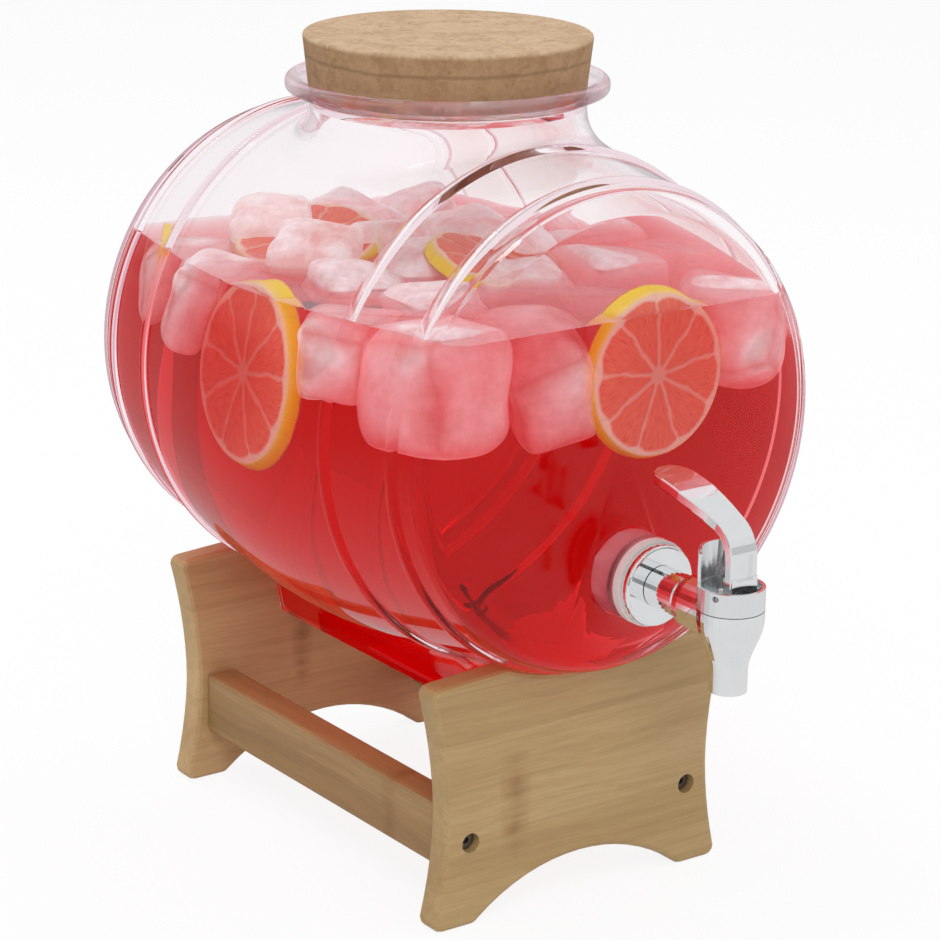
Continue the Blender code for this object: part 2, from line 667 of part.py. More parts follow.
def stand_screw(name, side, end):
    """A wood screw with a hexagon socket, its head on the floor of the sunk hole."""
    head_face = STAND_LENGTH / 2 - SCREW_HOLE_DEPTH + SCREW_HEAD_HEIGHT + CLEARANCE
    rail_end = STAND_LENGTH / 2 - BOARD_THICKNESS
    shank = head_face - rail_end + SCREW_GRIP
    outline = [
        (0, 0), (SCREW_HEAD_RADIUS, 0), (SCREW_HEAD_RADIUS, -SCREW_HEAD_HEIGHT), (SCREW_RADIUS, -SCREW_HEAD_HEIGHT),
        (SCREW_RADIUS, SCREW_POINT - shank), (0, -shank),
    ]
    place = (side * RAIL_SPACING / 2, STAND_Y + end * head_face, RAIL_CENTRE_HEIGHT)
    facing = (-end * math.pi / 2, 0, 0)
    screw = turned(name, outline, 16, STEEL, place, facing)
    socket = cylinder(f"{name}_socket", SCREW_SOCKET_RADIUS, 2 * SCREW_SOCKET_DEPTH, 6, location=place, rotation=facing)
    return cut(screw, socket)


def rail_dowel(name, side, end):
    length = DOWEL_IN_BOARD + DOWEL_IN_RAIL
    joint = STAND_LENGTH / 2 - BOARD_THICKNESS
    middle = joint + (DOWEL_IN_BOARD - DOWEL_IN_RAIL) / 2
    outline = [
        (0, length / 2), (DOWEL_RADIUS - DOWEL_CHAMFER, length / 2), (DOWEL_RADIUS, length / 2 - DOWEL_CHAMFER),
        (DOWEL_RADIUS, DOWEL_CHAMFER - length / 2), (DOWEL_RADIUS - DOWEL_CHAMFER, -length / 2), (0, -length / 2),
    ]
    place = (side * RAIL_SPACING / 2, STAND_Y + end * middle, RAIL_CENTRE_HEIGHT - DOWEL_DROP)
    return turned(name, outline, 12, DOWEL_WOOD, place, FORWARD)


def washer(name, radius, bore, thickness, back_y, look, edge=0.0):
    """A round plate with a bore on the tap's axis, its back at back_y and its face towards the front."""
    outline = [(bore, thickness)]
    if edge:
        outline += arc((radius - edge, thickness - edge), edge, math.pi / 2, 0, 3)
    else:
        outline.append((radius, thickness))
    outline += [(radius, 0), (bore, 0)]
    return turned(name, outline, 32, look, (0, back_y, TAP_Z), FORWARD)


def shank_nut():
    """Hexagon nut that clamps the tap from inside the glass."""
    back_y = BOSS_FACE_Y + BOSS_FACE_WALL + INNER_GASKET_THICKNESS + 2 * CLEARANCE
    nut = cylinder("shank_nut", NUT_ACROSS_CORNERS / 2, NUT_THICKNESS, 6, WHITE_PLASTIC,
                   (0, back_y + NUT_THICKNESS / 2, TAP_Z), FORWARD)
    return cut(nut, cylinder("nut_bore", THREAD_RADIUS + CLEARANCE, NUT_THICKNESS + 2 * OVERRUN, 24,
                             location=nut.location, rotation=FORWARD))


def valve_outline():
    """Outside of the valve chamber and nozzle, from above the seam down."""
    top = SEAM_Z + OVERRUN
    outline = [(0, top), (VALVE_RADIUS, top)]
    for i in range(9):
        share = (1 - math.cos(math.pi * i / 8)) / 2
        outline.append((VALVE_RADIUS + (NOZZLE_RADIUS - VALVE_RADIUS) * share, TAP_Z - TAPER_LENGTH * i / 8))
    end = TAP_Z - TAPER_LENGTH - NOZZLE_LENGTH
    return outline + [(NOZZLE_RADIUS, end), (0, end)]


def chamber_outline():
    """The space inside the valve body, from above the seam down through the seat and out of the nozzle."""
    above = SEAM_Z + OVERRUN
    under_seat = SEAT_Z - SEAT_THICKNESS
    end = TAP_Z - TAPER_LENGTH - NOZZLE_LENGTH - OVERRUN
    return [
        (0, above), (CHAMBER_RADIUS, above), (CHAMBER_RADIUS, TAP_Z - CHAMBER_CONE_DROP), (SEAT_RADIUS, SEAT_Z),
        (SEAT_BORE_RADIUS, SEAT_Z), (SEAT_BORE_RADIUS, under_seat), (NOZZLE_BORE_RADIUS, under_seat),
        (NOZZLE_BORE_RADIUS, end), (0, end),
    ]


def tap_body():
    """Threaded shank, front shank and collar on the tap's axis, joined to the upright valve chamber and nozzle."""
    shoulder = TAP_STACK
    thread_start = shoulder - THREAD_LENGTH
    collar_start = shoulder + FRONT_SHANK_LENGTH
    outline = [
        (0, VALVE_REACH), (COLLAR_RADIUS, VALVE_REACH), (COLLAR_RADIUS, collar_start + COLLAR_LEAD),
        (COLLAR_RADIUS - CLEARANCE, collar_start), (FRONT_SHANK_RADIUS, collar_start - COLLAR_LEAD),
        (FRONT_SHANK_RADIUS, shoulder), (THREAD_RADIUS, shoulder), (THREAD_RADIUS, thread_start), (0, thread_start),
    ]
    body = turned("tap_body", outline, 32, CHROME, (0, FRONT_FACE_Y, TAP_Z), FORWARD)
    cut(body, turned("valve_form", valve_outline(), 36, location=(0, VALVE_Y, 0)), "UNION")
    head_room = RIM_RISE + OVERRUN
    cut(body, cylinder("bonnet_room", VALVE_RADIUS + CLEARANCE, head_room, 40,
                       location=(0, VALVE_Y, SEAM_Z - CLEARANCE + head_room / 2)))
    cut(body, turned("chamber", chamber_outline(), 28, location=(0, VALVE_Y, 0)))
    bore_length = VALVE_REACH - thread_start + OVERRUN
    bore_middle = FRONT_FACE_Y - (VALVE_REACH + thread_start - OVERRUN) / 2
    cut(body, cylinder("shank_bore", SHANK_BORE_RADIUS, bore_length, 24,
                       location=(0, bore_middle, TAP_Z), rotation=FORWARD))
    return body


def bonnet():
    """Ring and floor over the valve chamber, with a skirt into it, a groove for the stem's ring and a rear tongue."""
    inner = VALVE_RADIUS - BONNET_WALL
    floor = SEAM_Z + BONNET_FLOOR
    hole = STEM_RADIUS + CLEARANCE
    groove_top = floor - RING_GROOVE_DROP
    groove_foot = groove_top - RING_GROOVE_HEIGHT
    skirt = CHAMBER_RADIUS - CLEARANCE
    outline = [
        (inner, BONNET_RIM_Z), (VALVE_RADIUS, BONNET_RIM_Z), (VALVE_RADIUS, SEAM_Z), (skirt, SEAM_Z),
        (skirt, SEAM_Z - SKIRT_LENGTH), (hole, SEAM_Z - SKIRT_LENGTH), (hole, groove_foot),
        (RING_GROOVE_RADIUS, groove_foot), (RING_GROOVE_RADIUS, groove_top), (hole, groove_top), (hole, floor),
        (inner, floor),
    ]
    made = turned("bonnet", outline, 32, CHROME, (0, VALVE_Y, 0))
    cut(made, guard_form(), "UNION")
    return cut(made, cylinder("pin_holes", PIN_RADIUS + CLEARANCE, 2 * (VALVE_RADIUS + OVERRUN), 16,
                              location=(0, PIN_Y, PIN_Z), rotation=(0, math.pi / 2, 0)))


def guard_form():
    """The tongue that rises from the bonnet's rear rim and widens upwards, curved round the valve's axis."""
    mesh = bpy.data.meshes.new("guard_form")
    cage = bmesh.new()
    bmesh.ops.create_grid(cage, x_segments=10, y_segments=4, size=1)
    radius = VALVE_RADIUS - BONNET_WALL / 2
    foot_z = BONNET_RIM_Z - GUARD_ROOT
    for point in cage.verts:
        across, up = point.co.x, (point.co.y + 1) / 2
        angle = across * (GUARD_FOOT_ANGLE + (GUARD_TOP_ANGLE - GUARD_FOOT_ANGLE) * up)
        height = foot_z + (GUARD_HEIGHT + GUARD_ROOT) * up * (1 - GUARD_CROWN_SHARE * up * across**4)
        point.co = (radius * math.sin(angle), radius * math.cos(angle), height)
    cage.to_mesh(mesh)
    cage.free()
    made = add("guard_form", mesh, location=(0, VALVE_Y, 0))
    wall = made.modifiers.new("wall", "SOLIDIFY")
    wall.thickness = GUARD_THICKNESS
    wall.offset = 0
    return made


def lever_path():
    """Middle line of the lever as (back, up) from its pin: a stem, a bend and a paddle that levels off."""
    slope = math.atan(PADDLE_RISE * (1 + PADDLE_CROWN_SHARE) / PADDLE_RUN)
    stem = [(0, LEVER_STEM_HEIGHT * i / 2) for i in range(3)]
    bend = arc((LEVER_BEND_RADIUS, LEVER_STEM_HEIGHT), LEVER_BEND_RADIUS, math.pi, math.pi / 2 + slope, 6)[1:]
    start_back, start_up = bend[-1]
    paddle = []
    for i in range(1, 10):
        share = math.sin(math.pi / 2 * i / 9)
        rise = PADDLE_RISE * ((1 + PADDLE_CROWN_SHARE) * share - PADDLE_CROWN_SHARE * share**2)
        paddle.append((start_back + PADDLE_RUN * share, start_up + rise))
    return stem + bend + paddle


def lever():
    """Paddle lever: a bent strip with a round tip, a stem block with a front pocket, and a forked heel."""
    path = lever_path()
    mesh = bpy.data.meshes.new("lever")
    cage = bmesh.new()
    bmesh.ops.create_grid(cage, x_segments=4, y_segments=len(path) - 1, size=1)
    tip_back = path[-1][0]
    paddle_back = tip_back - PADDLE_RUN
    for point in cage.verts:
        back, up = path[round((point.co.y + 1) / 2 * (len(path) - 1))]
        widening = max(0, min(1, 2 * (back - paddle_back) / PADDLE_RUN))
        half = (LEVER_WIDTH + (PADDLE_WIDTH - LEVER_WIDTH) * widening) / 2
        to_tip = max(0, half - (tip_back - back))
        width = math.sqrt(max(half**2 - to_tip**2, (LEVER_EDGE * 2) ** 2))
        point.co = (point.co.x * width, back, up)
    cage.to_mesh(mesh)
    cage.free()
    smooth(mesh, math.radians(60))
    made = add("lever", mesh, CHROME, (0, PIN_Y, PIN_Z))
    wall = made.modifiers.new("wall", "SOLIDIFY")
    wall.thickness = LEVER_THICKNESS
    wall.offset = 0
    bevel(made, LEVER_EDGE, 2, math.radians(50))
    block_z = PIN_Z - STEM_BLOCK_BELOW_PIN + STEM_BLOCK_HEIGHT / 2
    stem = block("stem_form", (STEM_BLOCK_WIDTH, STEM_BLOCK_DEPTH, STEM_BLOCK_HEIGHT), location=(0, PIN_Y, block_z))
    heel = block("heel_form", (STEM_BLOCK_WIDTH - 2 * LEVER_EDGE, HEEL_REACH, HEEL_THICKNESS),
                 location=(0, PIN_Y + HEEL_REACH / 2, HEEL_TOP_Z - HEEL_THICKNESS / 2))
    for form in (stem, heel):
        cut(made, form, "UNION")
    slot_reach = HEEL_REACH + OVERRUN
    slot_z = PIN_Z - STEM_BLOCK_BELOW_PIN - OVERRUN
    slot_height = STEM_BLOCK_BELOW_PIN + OVERRUN + HEEL_SLOT_HEIGHT
    slot_front = PIN_Y + STEM_BLOCK_DEPTH / 2 - HEEL_SLOT_DEPTH
    cut(made, block("heel_slot", (HEEL_SLOT_WIDTH, slot_reach, slot_height),
                    location=(0, slot_front + slot_reach / 2, slot_z + slot_height / 2)))
    pocket_front = PIN_Y - STEM_BLOCK_DEPTH / 2
    cut(made, block("stem_pocket", (POCKET_WIDTH, POCKET_DEPTH * 2, POCKET_HEIGHT),
                    location=(0, pocket_front, PIN_Z + POCKET_BASE + POCKET_HEIGHT / 2)))
    return cut(made, cylinder("lever_hole", PIN_RADIUS + CLEARANCE, LEVER_WIDTH + 2 * OVERRUN, 16,
                              location=(0, PIN_Y, PIN_Z), rotation=(0, math.pi / 2, 0)))


def lever_pin():
    reach = math.sqrt(VALVE_RADIUS**2 - PIN_AHEAD**2) - PIN_INSET
    return cylinder("lever_pin", PIN_RADIUS, 2 * reach, 12, STEEL, (0, PIN_Y, PIN_Z), (0, math.pi / 2, 0))


def valve_stem():
    """Rod with a spring plate and a tail in the seal, and a crossbar that the lever's heel lifts."""
    bar_z = HEEL_TOP_Z + CLEARANCE
    outline = [
        (0, bar_z + CROSSBAR_HEIGHT / 2), (STEM_RADIUS, bar_z + CROSSBAR_HEIGHT / 2),
        (STEM_RADIUS, PLATE_Z + SPRING_PLATE_THICKNESS),
        (SPRING_PLATE_RADIUS, PLATE_Z + SPRING_PLATE_THICKNESS), (SPRING_PLATE_RADIUS, PLATE_Z),
        (STEM_RADIUS, PLATE_Z), (STEM_RADIUS, PLATE_Z - STEM_TAIL), (0, PLATE_Z - STEM_TAIL),
    ]
    outline = [(radius, height - PLATE_Z) for radius, height in outline]
    stem = turned("valve_stem", outline, 24, WHITE_PLASTIC, (0, VALVE_Y, PLATE_Z))
    bar = block("crossbar_form", (CROSSBAR_LENGTH, CROSSBAR_WIDTH, CROSSBAR_HEIGHT),
                location=(0, VALVE_Y, bar_z + CROSSBAR_HEIGHT / 2))
    return cut(stem, bar, "UNION")


def valve_seal():
    """Silicone plug with a nose in the seat's bore and a socket for the stem's tail."""
    base = SEAT_Z + CLEARANCE
    top = base + SEAL_THICKNESS
    socket = STEM_RADIUS + CLEARANCE
    socket_foot = top - STEM_TAIL - 2 * CLEARANCE
    outline = [
        (socket, top), (SEAL_RADIUS, top), (SEAL_RADIUS, base), (SEAL_NOSE_RADIUS, base),
        (SEAL_NOSE_RADIUS / 2, base - SEAL_NOSE_LENGTH), (0, base - SEAL_NOSE_LENGTH),
    ]
    outline = [(0, socket_foot), (socket, socket_foot)] + outline
    outline = [(radius, height - base) for radius, height in outline]
    return turned("valve_seal", outline, 24, SILICONE, (0, VALVE_Y, base))


def stem_ring():
    """Small sealing ring round the stem, in the bonnet's groove."""
    inner = STEM_RADIUS + CLEARANCE / 2
    outer = RING_GROOVE_RADIUS - CLEARANCE / 2
    centre_z = SEAM_Z + BONNET_FLOOR - RING_GROOVE_DROP - RING_GROOVE_HEIGHT / 2
    radius = (outer - inner) / 2
    section = arc(((outer + inner) / 2, 0), radius, math.pi / 2, -3 * math.pi / 2, 8)[:-1]
    return turned("stem_ring", section, 24, SILICONE, (0, VALVE_Y, centre_z))


def return_spring():
    """Helical spring between the stem's plate and the bonnet."""
    foot = PLATE_Z + SPRING_PLATE_THICKNESS + CLEARANCE + SPRING_WIRE_RADIUS
    top = SPRING_TOP_Z - SPRING_WIRE_RADIUS
    wire = bpy.data.curves.new("return_spring", "CURVE")
    wire.dimensions = "3D"
    wire.bevel_depth = SPRING_WIRE_RADIUS
    wire.bevel_resolution = 1
    wire.use_fill_caps = True
    count = SPRING_TURNS * SPRING_POINTS_PER_TURN
    helix = wire.splines.new("POLY")
    helix.points.add(count)
    for i, point in enumerate(helix.points):
        turn = 2 * math.pi * i / SPRING_POINTS_PER_TURN
        point.co = (SPRING_RADIUS * math.cos(turn), SPRING_RADIUS * math.sin(turn), (foot - top) * i / count, 1)
    made = bpy.data.objects.new("return_spring", wire)
    made.location = (0, VALVE_Y, top)
    wire.materials.append(STEEL)
    parts.objects.link(made)
    return made


def build_stand():
    stand = axle_empty("stand", (0, STAND_Y, 0))
    pieces = [end_board("front_board", -1), end_board("rear_board", 1), rail("left_rail", -1), rail("right_rail", 1)]
    for end, end_name in ((-1, "front"), (1, "rear")):
        for side, side_name in ((-1, "left"), (1, "right")):
            pieces.append(stand_screw(f"{end_name}_{side_name}_screw", side, end))
            pieces.append(rail_dowel(f"{end_name}_{side_name}_dowel", side, end))
    attach(stand, *pieces)
    return stand


def build_vessel():
    """The glass with its tap, the lid and the moving valve, each on an empty on its own axis."""
    vessel = axle_empty("vessel_lift", (0, BARREL_Y, AXIS_Z))
    gasket_y = BOSS_FACE_Y - CLEARANCE - OUTER_GASKET_THICKNESS
    inner_gasket_y = BOSS_FACE_Y + BOSS_FACE_WALL + CLEARANCE
    bore = THREAD_RADIUS + CLEARANCE
    fixed = [
        *glass_pieces(),
        washer("outer_gasket", OUTER_GASKET_RADIUS, bore, OUTER_GASKET_THICKNESS,
               gasket_y + OUTER_GASKET_THICKNESS, SILICONE),
        washer("tap_flange", FLANGE_RADIUS, bore, FLANGE_THICKNESS, gasket_y - CLEARANCE, CHROME, FLANGE_EDGE),
        washer("inner_gasket", INNER_GASKET_RADIUS, bore, INNER_GASKET_THICKNESS,
               inner_gasket_y + INNER_GASKET_THICKNESS, SILICONE),
        shank_nut(), tap_body(), bonnet(), lever_pin(), stem_ring(), return_spring(),
    ]
    attach(vessel, *fixed)
    valve = axle_empty("valve_lift", (0, VALVE_Y, SEAT_Z))
    attach(valve, valve_stem(), valve_seal())
    attach(vessel, valve, lever(), cork_lid())
    return vessel


attach(build_stand(), build_vessel())
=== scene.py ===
"""Looks of the glass juice dispenser: a glass barrel with red drink, ice and lemon slices, a cork lid, a chromed
lever tap and a bamboo stand. Metres, +Z up, the tap looks along -Y."""

import math
import random

import bmesh
import bpy
from mathutils import Euler, Matrix, Vector, noise


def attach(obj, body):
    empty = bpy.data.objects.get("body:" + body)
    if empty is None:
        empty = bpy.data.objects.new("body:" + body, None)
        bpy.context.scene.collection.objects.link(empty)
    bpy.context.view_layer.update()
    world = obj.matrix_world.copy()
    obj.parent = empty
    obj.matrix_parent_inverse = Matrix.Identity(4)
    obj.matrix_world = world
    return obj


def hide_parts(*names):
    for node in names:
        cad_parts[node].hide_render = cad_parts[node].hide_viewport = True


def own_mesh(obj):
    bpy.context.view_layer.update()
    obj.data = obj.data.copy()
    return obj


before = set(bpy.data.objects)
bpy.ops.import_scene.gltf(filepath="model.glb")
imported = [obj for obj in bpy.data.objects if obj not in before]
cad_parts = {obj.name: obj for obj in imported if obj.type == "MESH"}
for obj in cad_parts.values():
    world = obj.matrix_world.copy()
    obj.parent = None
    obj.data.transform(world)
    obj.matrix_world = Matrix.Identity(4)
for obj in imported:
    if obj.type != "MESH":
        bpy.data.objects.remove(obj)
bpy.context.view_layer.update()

# Glass, as the solids have it
BARREL_Y = 0.03855
AXIS_Z = 0.19594
HALF_LENGTH = 0.1195
BELLY_RADIUS = 0.1096
END_RADIUS = 0.0945
CROWN = 0.009
CORNER = 0.008
WALL = 0.004
END_WALL = 0.005
HOOPS = (0.0668, 0.1026)
HOOP_WIDTH = 0.0062
HOOP_RISE = 0.0019
FOOT_Z = 0.07394
FOOT_HALF_LENGTH = 0.0815
FOOT_HALF_WIDTH = 0.036
FOOT_DRAFT = 0.16
FOOT_END_DRAFT = 0.087
FOOT_HEIGHT = 0.0344
FOOT_EDGE = 0.0028
FOOT_WALL_SHARE = 0.5
RIM_Z = 0.31774
BELLY_TOP_Z = AXIS_Z + BELLY_RADIUS
NECK_RADIUS = 0.0556
LIP_RADIUS = 0.0647
LIP_HEIGHT = 0.0062
LIP_ROUNDING = 0.0024
MOUTH_RADIUS = 0.0606
MOUTH_DEPTH = 0.0125
BORE_RADIUS = 0.0512
TAP_Z = 0.14394
FRONT_Y = BARREL_Y - HALF_LENGTH
BOSS_LENGTH = 0.0154
BOSS_RADIUS = 0.0173
BOSS_WALL = 0.006
BOSS_EDGE = 0.0018
RECESS_RADIUS = 0.0128
RECESS_END = -0.009
HOLE_RADIUS = 0.0068
NECK_FILLET = 0.011
FOOT_FILLET = 0.006
BOSS_FILLET = 0.004
WATER_Z = 0.2422
DRINK_LAP = 0.0008
FLANK_RUN = HALF_LENGTH - CORNER
FLANK_SLOPE = math.sqrt((BELLY_RADIUS - END_RADIUS + CROWN) ** 2 - CROWN**2) / FLANK_RUN


class Flow:
    """One output of a shader node. Sums on it add Math nodes."""

    def __init__(self, look, socket):
        self.look, self.socket = look, socket

    def maths(self, operation, *others):
        return self.look.node("Math", {"operation": operation}, dict(enumerate((self, *others))))

    def __add__(self, other):
        return self.maths("ADD", other)

    def __mul__(self, other):
        return self.maths("MULTIPLY", other)

    def __sub__(self, other):
        return self.maths("SUBTRACT", other)

    def __rsub__(self, other):
        return self.look.node("Math", {"operation": "SUBTRACT"}, {0: other, 1: self})

    def __truediv__(self, other):
        return self.maths("DIVIDE", other)

    __radd__ = __add__
    __rmul__ = __mul__


class Look:
    """A material or a world that is put together from nodes."""

    def __init__(self, name, owner=None, **plain):
        self.owner = owner or bpy.data.materials.new(name)
        self.owner.use_nodes = True
        self.tree = self.owner.node_tree
        self.tree.nodes.clear()
        if owner is None:
            self.shader = self.node("BsdfPrincipled", {}, {key.replace("_", " "): v for key, v in plain.items()})
            self.out = self.tree.nodes.new("ShaderNodeOutputMaterial")
            self.show(self.shader)

    def node(self, kind, settings=(), sockets=(), output=0):
        made = self.tree.nodes.new("ShaderNode" + kind)
        for key, value in dict(settings).items():
            if key == "stops":
                ramp = made.color_ramp
                while len(ramp.elements) < len(value):
                    ramp.elements.new(1)
                for element, (place, colour) in zip(ramp.elements, value):
                    element.position = place
                    element.color = (*colour, 1) if isinstance(colour, tuple) else (colour, colour, colour, 1)
            else:
                setattr(made, key, value)
        for key, value in dict(sockets).items():
            self.feed(made.inputs[key], value)
        return Flow(self, made.outputs[output])

    def feed(self, target, value):
        if isinstance(value, Flow):
            self.tree.links.new(value.socket, target)
        elif isinstance(value, tuple) and target.type == "RGBA":
            target.default_value = (*value, 1) if len(value) == 3 else value
        else:
            target.default_value = value

    def show(self, surface):
        self.tree.links.new(surface.socket, self.out.inputs["Surface"])

    def shaded(self, share, first, second):
        return self.node("MixShader", {}, {0: share, 1: first, 2: second})

    def fill(self, kind, colour, density):
        inside = self.node(kind, {}, {"Color": colour, "Density": density})
        self.tree.links.new(inside.socket, self.out.inputs["Volume"])

    def set(self, **sockets):
        """Feeds sockets of the main shader."""
        made = self.shader.socket.node
        for key, value in sockets.items():
            self.feed(made.inputs[key.replace("_", " ")], value)
        return self

    def place(self, scale=(1, 1, 1), location=(0, 0, 0), rotation=(0, 0, 0)):
        """The piece's own coordinates in metres, moved, turned and scaled."""
        spot = self.node("TexCoord", output="Object")
        return self.node("Mapping", {}, {0: spot, "Scale": scale, "Location": location, "Rotation": rotation})

    def parts(self, vector):
        return [self.node("SeparateXYZ", {}, {0: vector}, i) for i in range(3)]

    def noise(self, vector, scale, detail=3.0, roughness=0.5, distortion=0.0):
        return self.node("TexNoise", {}, {"Vector": vector, "Scale": scale, "Detail": detail,
                                          "Roughness": roughness, "Distortion": distortion})

    def ramp(self, value, *stops):
        return self.node("ValToRGB", {"stops": stops}, {0: value})

    def mix(self, share, first, second, blend="MIX"):
        return self.node("Mix", {"data_type": "RGBA", "blend_type": blend}, {0: share, 6: first, 7: second}, 2)

    def bump(self, height, strength=0.3, distance=0.001, normal=None):
        sockets = {"Height": height, "Strength": strength, "Distance": distance}
        if normal:
            sockets["Normal"] = normal
        return self.node("Bump", {}, sockets)

    def between(self, value, low, high, to_low=0.0, to_high=1.0):
        return self.node("MapRange", {"clamp": True}, {0: value, 1: low, 2: high, 3: to_low, 4: to_high})

    def past(self, counter, limit, before=0.0, after=1.0):
        """Goes from one value to another once a ray has more bounces than the limit."""
        bounces = self.node("LightPath", output=counter)
        return self.between(bounces, limit + 0.4, limit + 0.6, before, after)

    def let_through(self, *colour):
        return self.node("BsdfTransparent", {}, {"Color": colour})

    def attribute(self, name):
        return self.node("Attribute", {"attribute_name": name}, output="Fac")


def lets_lamps_through(look, surface, share=1.0):
    """Shadow rays pass this clear surface, so lamps light what is behind it."""
    ray = look.node("LightPath", output="Is Shadow Ray")
    look.show(look.shaded(ray, surface, look.let_through(share, share, share)))


def clear_glass():
    """Wavy pressed glass. Where the drink wets its inside, the drink's own skin bends the light instead."""
    look = Look("clear_glass", Base_Color=(1.0, 0.985, 0.99), Roughness=0.0, IOR=1.47, Transmission_Weight=1.0,
                Specular_Tint=(0.5, 0.5, 0.5))
    spot = look.place()
    broad = look.noise(spot, 22, 2, 0.4)
    drawn = look.noise(look.place(scale=(0.22, 1.0, 0.22)), 48, 1, 0.4)
    look.set(Normal=look.bump(broad * 0.7 + drawn * 0.3, 0.22, 0.0012),
             Roughness=look.between(broad, 0.3, 0.7, 0.0, 0.02))
    glass = look.shaded(look.past("Ray Depth", 3), look.shader, look.let_through(0.9, 0.8, 0.83))
    along, height = look.parts(spot)[1:]
    in_neck = look.between(height, BELLY_TOP_Z + 0.003, RIM_Z - 0.006, 0.0, 0.6)
    glass = look.shaded(in_neck, glass, look.let_through(0.97, 0.92, 0.94))
    wet = look.attribute("inner") * look.between(height, WATER_Z, WATER_Z + 0.00002, 1.0, 0.0)
    in_foot = look.between(height, 0.09, 0.104, 1.0, 0.0)
    in_boss = look.between(along, FRONT_Y, FRONT_Y + 0.002, 1.0, 0.0)
    foot_wall = look.shaded(0.4, look.let_through(0.93, 0.22, 0.25),
                            look.node("BsdfTranslucent", {}, {"Color": (0.9, 0.03, 0.02)}))
    boss_wall = look.shaded(0.6, look.let_through(0.98, 0.55, 0.58),
                            look.node("BsdfTranslucent", {}, {"Color": (0.95, 0.5, 0.55)}))
    wet_wall = look.shaded(in_boss, look.shaded(in_foot, look.let_through(1.0, 1.0, 1.0), foot_wall), boss_wall)
    look.fill("VolumeAbsorption", (0.8, 0.45, 0.58), 6.0)
    lets_lamps_through(look, look.shaded(wet, glass, wet_wall), 0.97)
    return look.owner


def red_drink():
    """A red liquid that bends light as water does at its top, and hardly at all against the glass."""
    look = Look("red_drink", Base_Color=(1.0, 0.93, 0.93), Roughness=0.0, IOR=1.33, Transmission_Weight=1.0)
    spot = look.place()
    ripple = look.noise(spot, 40, 2, 0.5)
    look.set(Normal=look.bump(ripple, 0.3, 0.0015), Roughness=look.between(ripple, 0.3, 0.7, 0.0, 0.02))
    against_glass = look.node("BsdfGlass", {}, {"Color": (1.0, 1.0, 1.0), "Roughness": 0.0, "IOR": 1.33 / 1.47})
    top = look.between(look.parts(spot)[2], WATER_Z - 0.00004, WATER_Z - 0.00002)
    skin = look.shaded(top, against_glass, look.shader)
    look.fill("VolumeAbsorption", (0.93, 0.04, 0.07), 36.0)
    lets_lamps_through(look, look.shaded(look.past("Ray Depth", 5), skin, look.let_through(0.9, 0.9, 0.9)))
    return look.owner


def cloudy_ice():
    """Ice is white in the middle of a block and clear towards its edges. Above the drink its wet skin shines."""
    look = Look("cloudy_ice", Base_Color=(0.99, 0.98, 0.985), Roughness=0.05, IOR=1.31, Transmission_Weight=1.0)
    spot = look.place()
    cloud = look.noise(spot, 60, 4, 0.6)
    fine = look.noise(spot, 220, 3, 0.6)
    look.set(Normal=look.bump(cloud, 0.5, 0.003, look.bump(fine, 0.25, 0.0006)),
             Roughness=look.between(cloud, 0.35, 0.7, 0.02, 0.12))
    milk = look.node("BsdfTranslucent", {}, {"Color": (0.98, 0.97, 0.975)})
    haze = look.node("BsdfDiffuse", {}, {"Color": (0.98, 0.97, 0.975)})
    white = look.shaded(0.5, milk, haze)
    clouded = look.between(cloud, 0.34, 0.62, 0.4, 1.0).maths("MAXIMUM", look.past("Ray Depth", 4))
    dry = look.shaded(clouded, look.shader, look.shaded(0.75, milk, haze))
    share = look.attribute("core") * look.between(cloud, 0.35, 0.62, 0.6, 1.0)
    share = share.maths("MAXIMUM", look.past("Transparent Depth", 3))
    sunk = look.shaded(share, look.let_through(1.0, 0.98, 0.98), white)
    below = look.between(look.parts(spot)[2], WATER_Z - 0.001, WATER_Z, 1.0, 0.0)
    lets_lamps_through(look, look.shaded(below, dry, sunk), 0.85)
    return look.owner


def lemon():
    """Yellow rind, white pith, and wedges of flesh that the drink has reddened, in a disc round its own UV middle."""
    look = Look("lemon", Roughness=0.35)
    disc = look.node("UVMap", {"uv_map": "slice"})
    along, across, _ = look.parts(disc)
    waver = look.noise(disc, 3.0, 2, 0.5) - 0.5
    radius = (along * along + across * across).maths("SQRT") + waver * 0.02
    turn = along.maths("ARCTAN2", across) + waver * 0.3
    wedge = 1 - ((turn * (9 / math.tau)).maths("FRACT") - 0.5).maths("ABSOLUTE") * 2
    flesh_end = 0.86 - look.between(1 - wedge, 0.5, 1.0, 0.0, 0.05)
    lines = look.between(wedge * radius, 0.01, 0.11)
    grit = look.noise(look.node("CombineXYZ", {}, {0: turn * 9, 1: radius * 2}), 3.2, 4, 0.6)
    flesh = look.ramp(grit, (0.3, (0.88, 0.13, 0.07)), (0.55, (0.95, 0.22, 0.13)), (0.8, (1.0, 0.36, 0.24)))
    core = look.between(radius, 0.075, 0.13)
    flesh = look.mix(0.1 + lines * core * 0.9, (1.0, 0.6, 0.48), flesh)
    pith = look.mix(look.between(radius - flesh_end, 0.0, 0.04), flesh, (1.0, 0.8, 0.68))
    rind = look.mix(look.between(radius, 0.92, 0.955), pith, (1.0, 0.9, 0.02))
    relief = look.bump(lines * core * 0.5 + grit * 0.5, 0.5, 0.0012)
    look.set(Base_Color=rind, Normal=relief, Roughness=look.between(grit, 0.3, 0.7, 0.2, 0.45))
    glow = look.node("BsdfTranslucent", {}, {"Color": rind, "Normal": relief})
    look.show(look.shaded(0.45, look.shader, glow))
    return look.owner


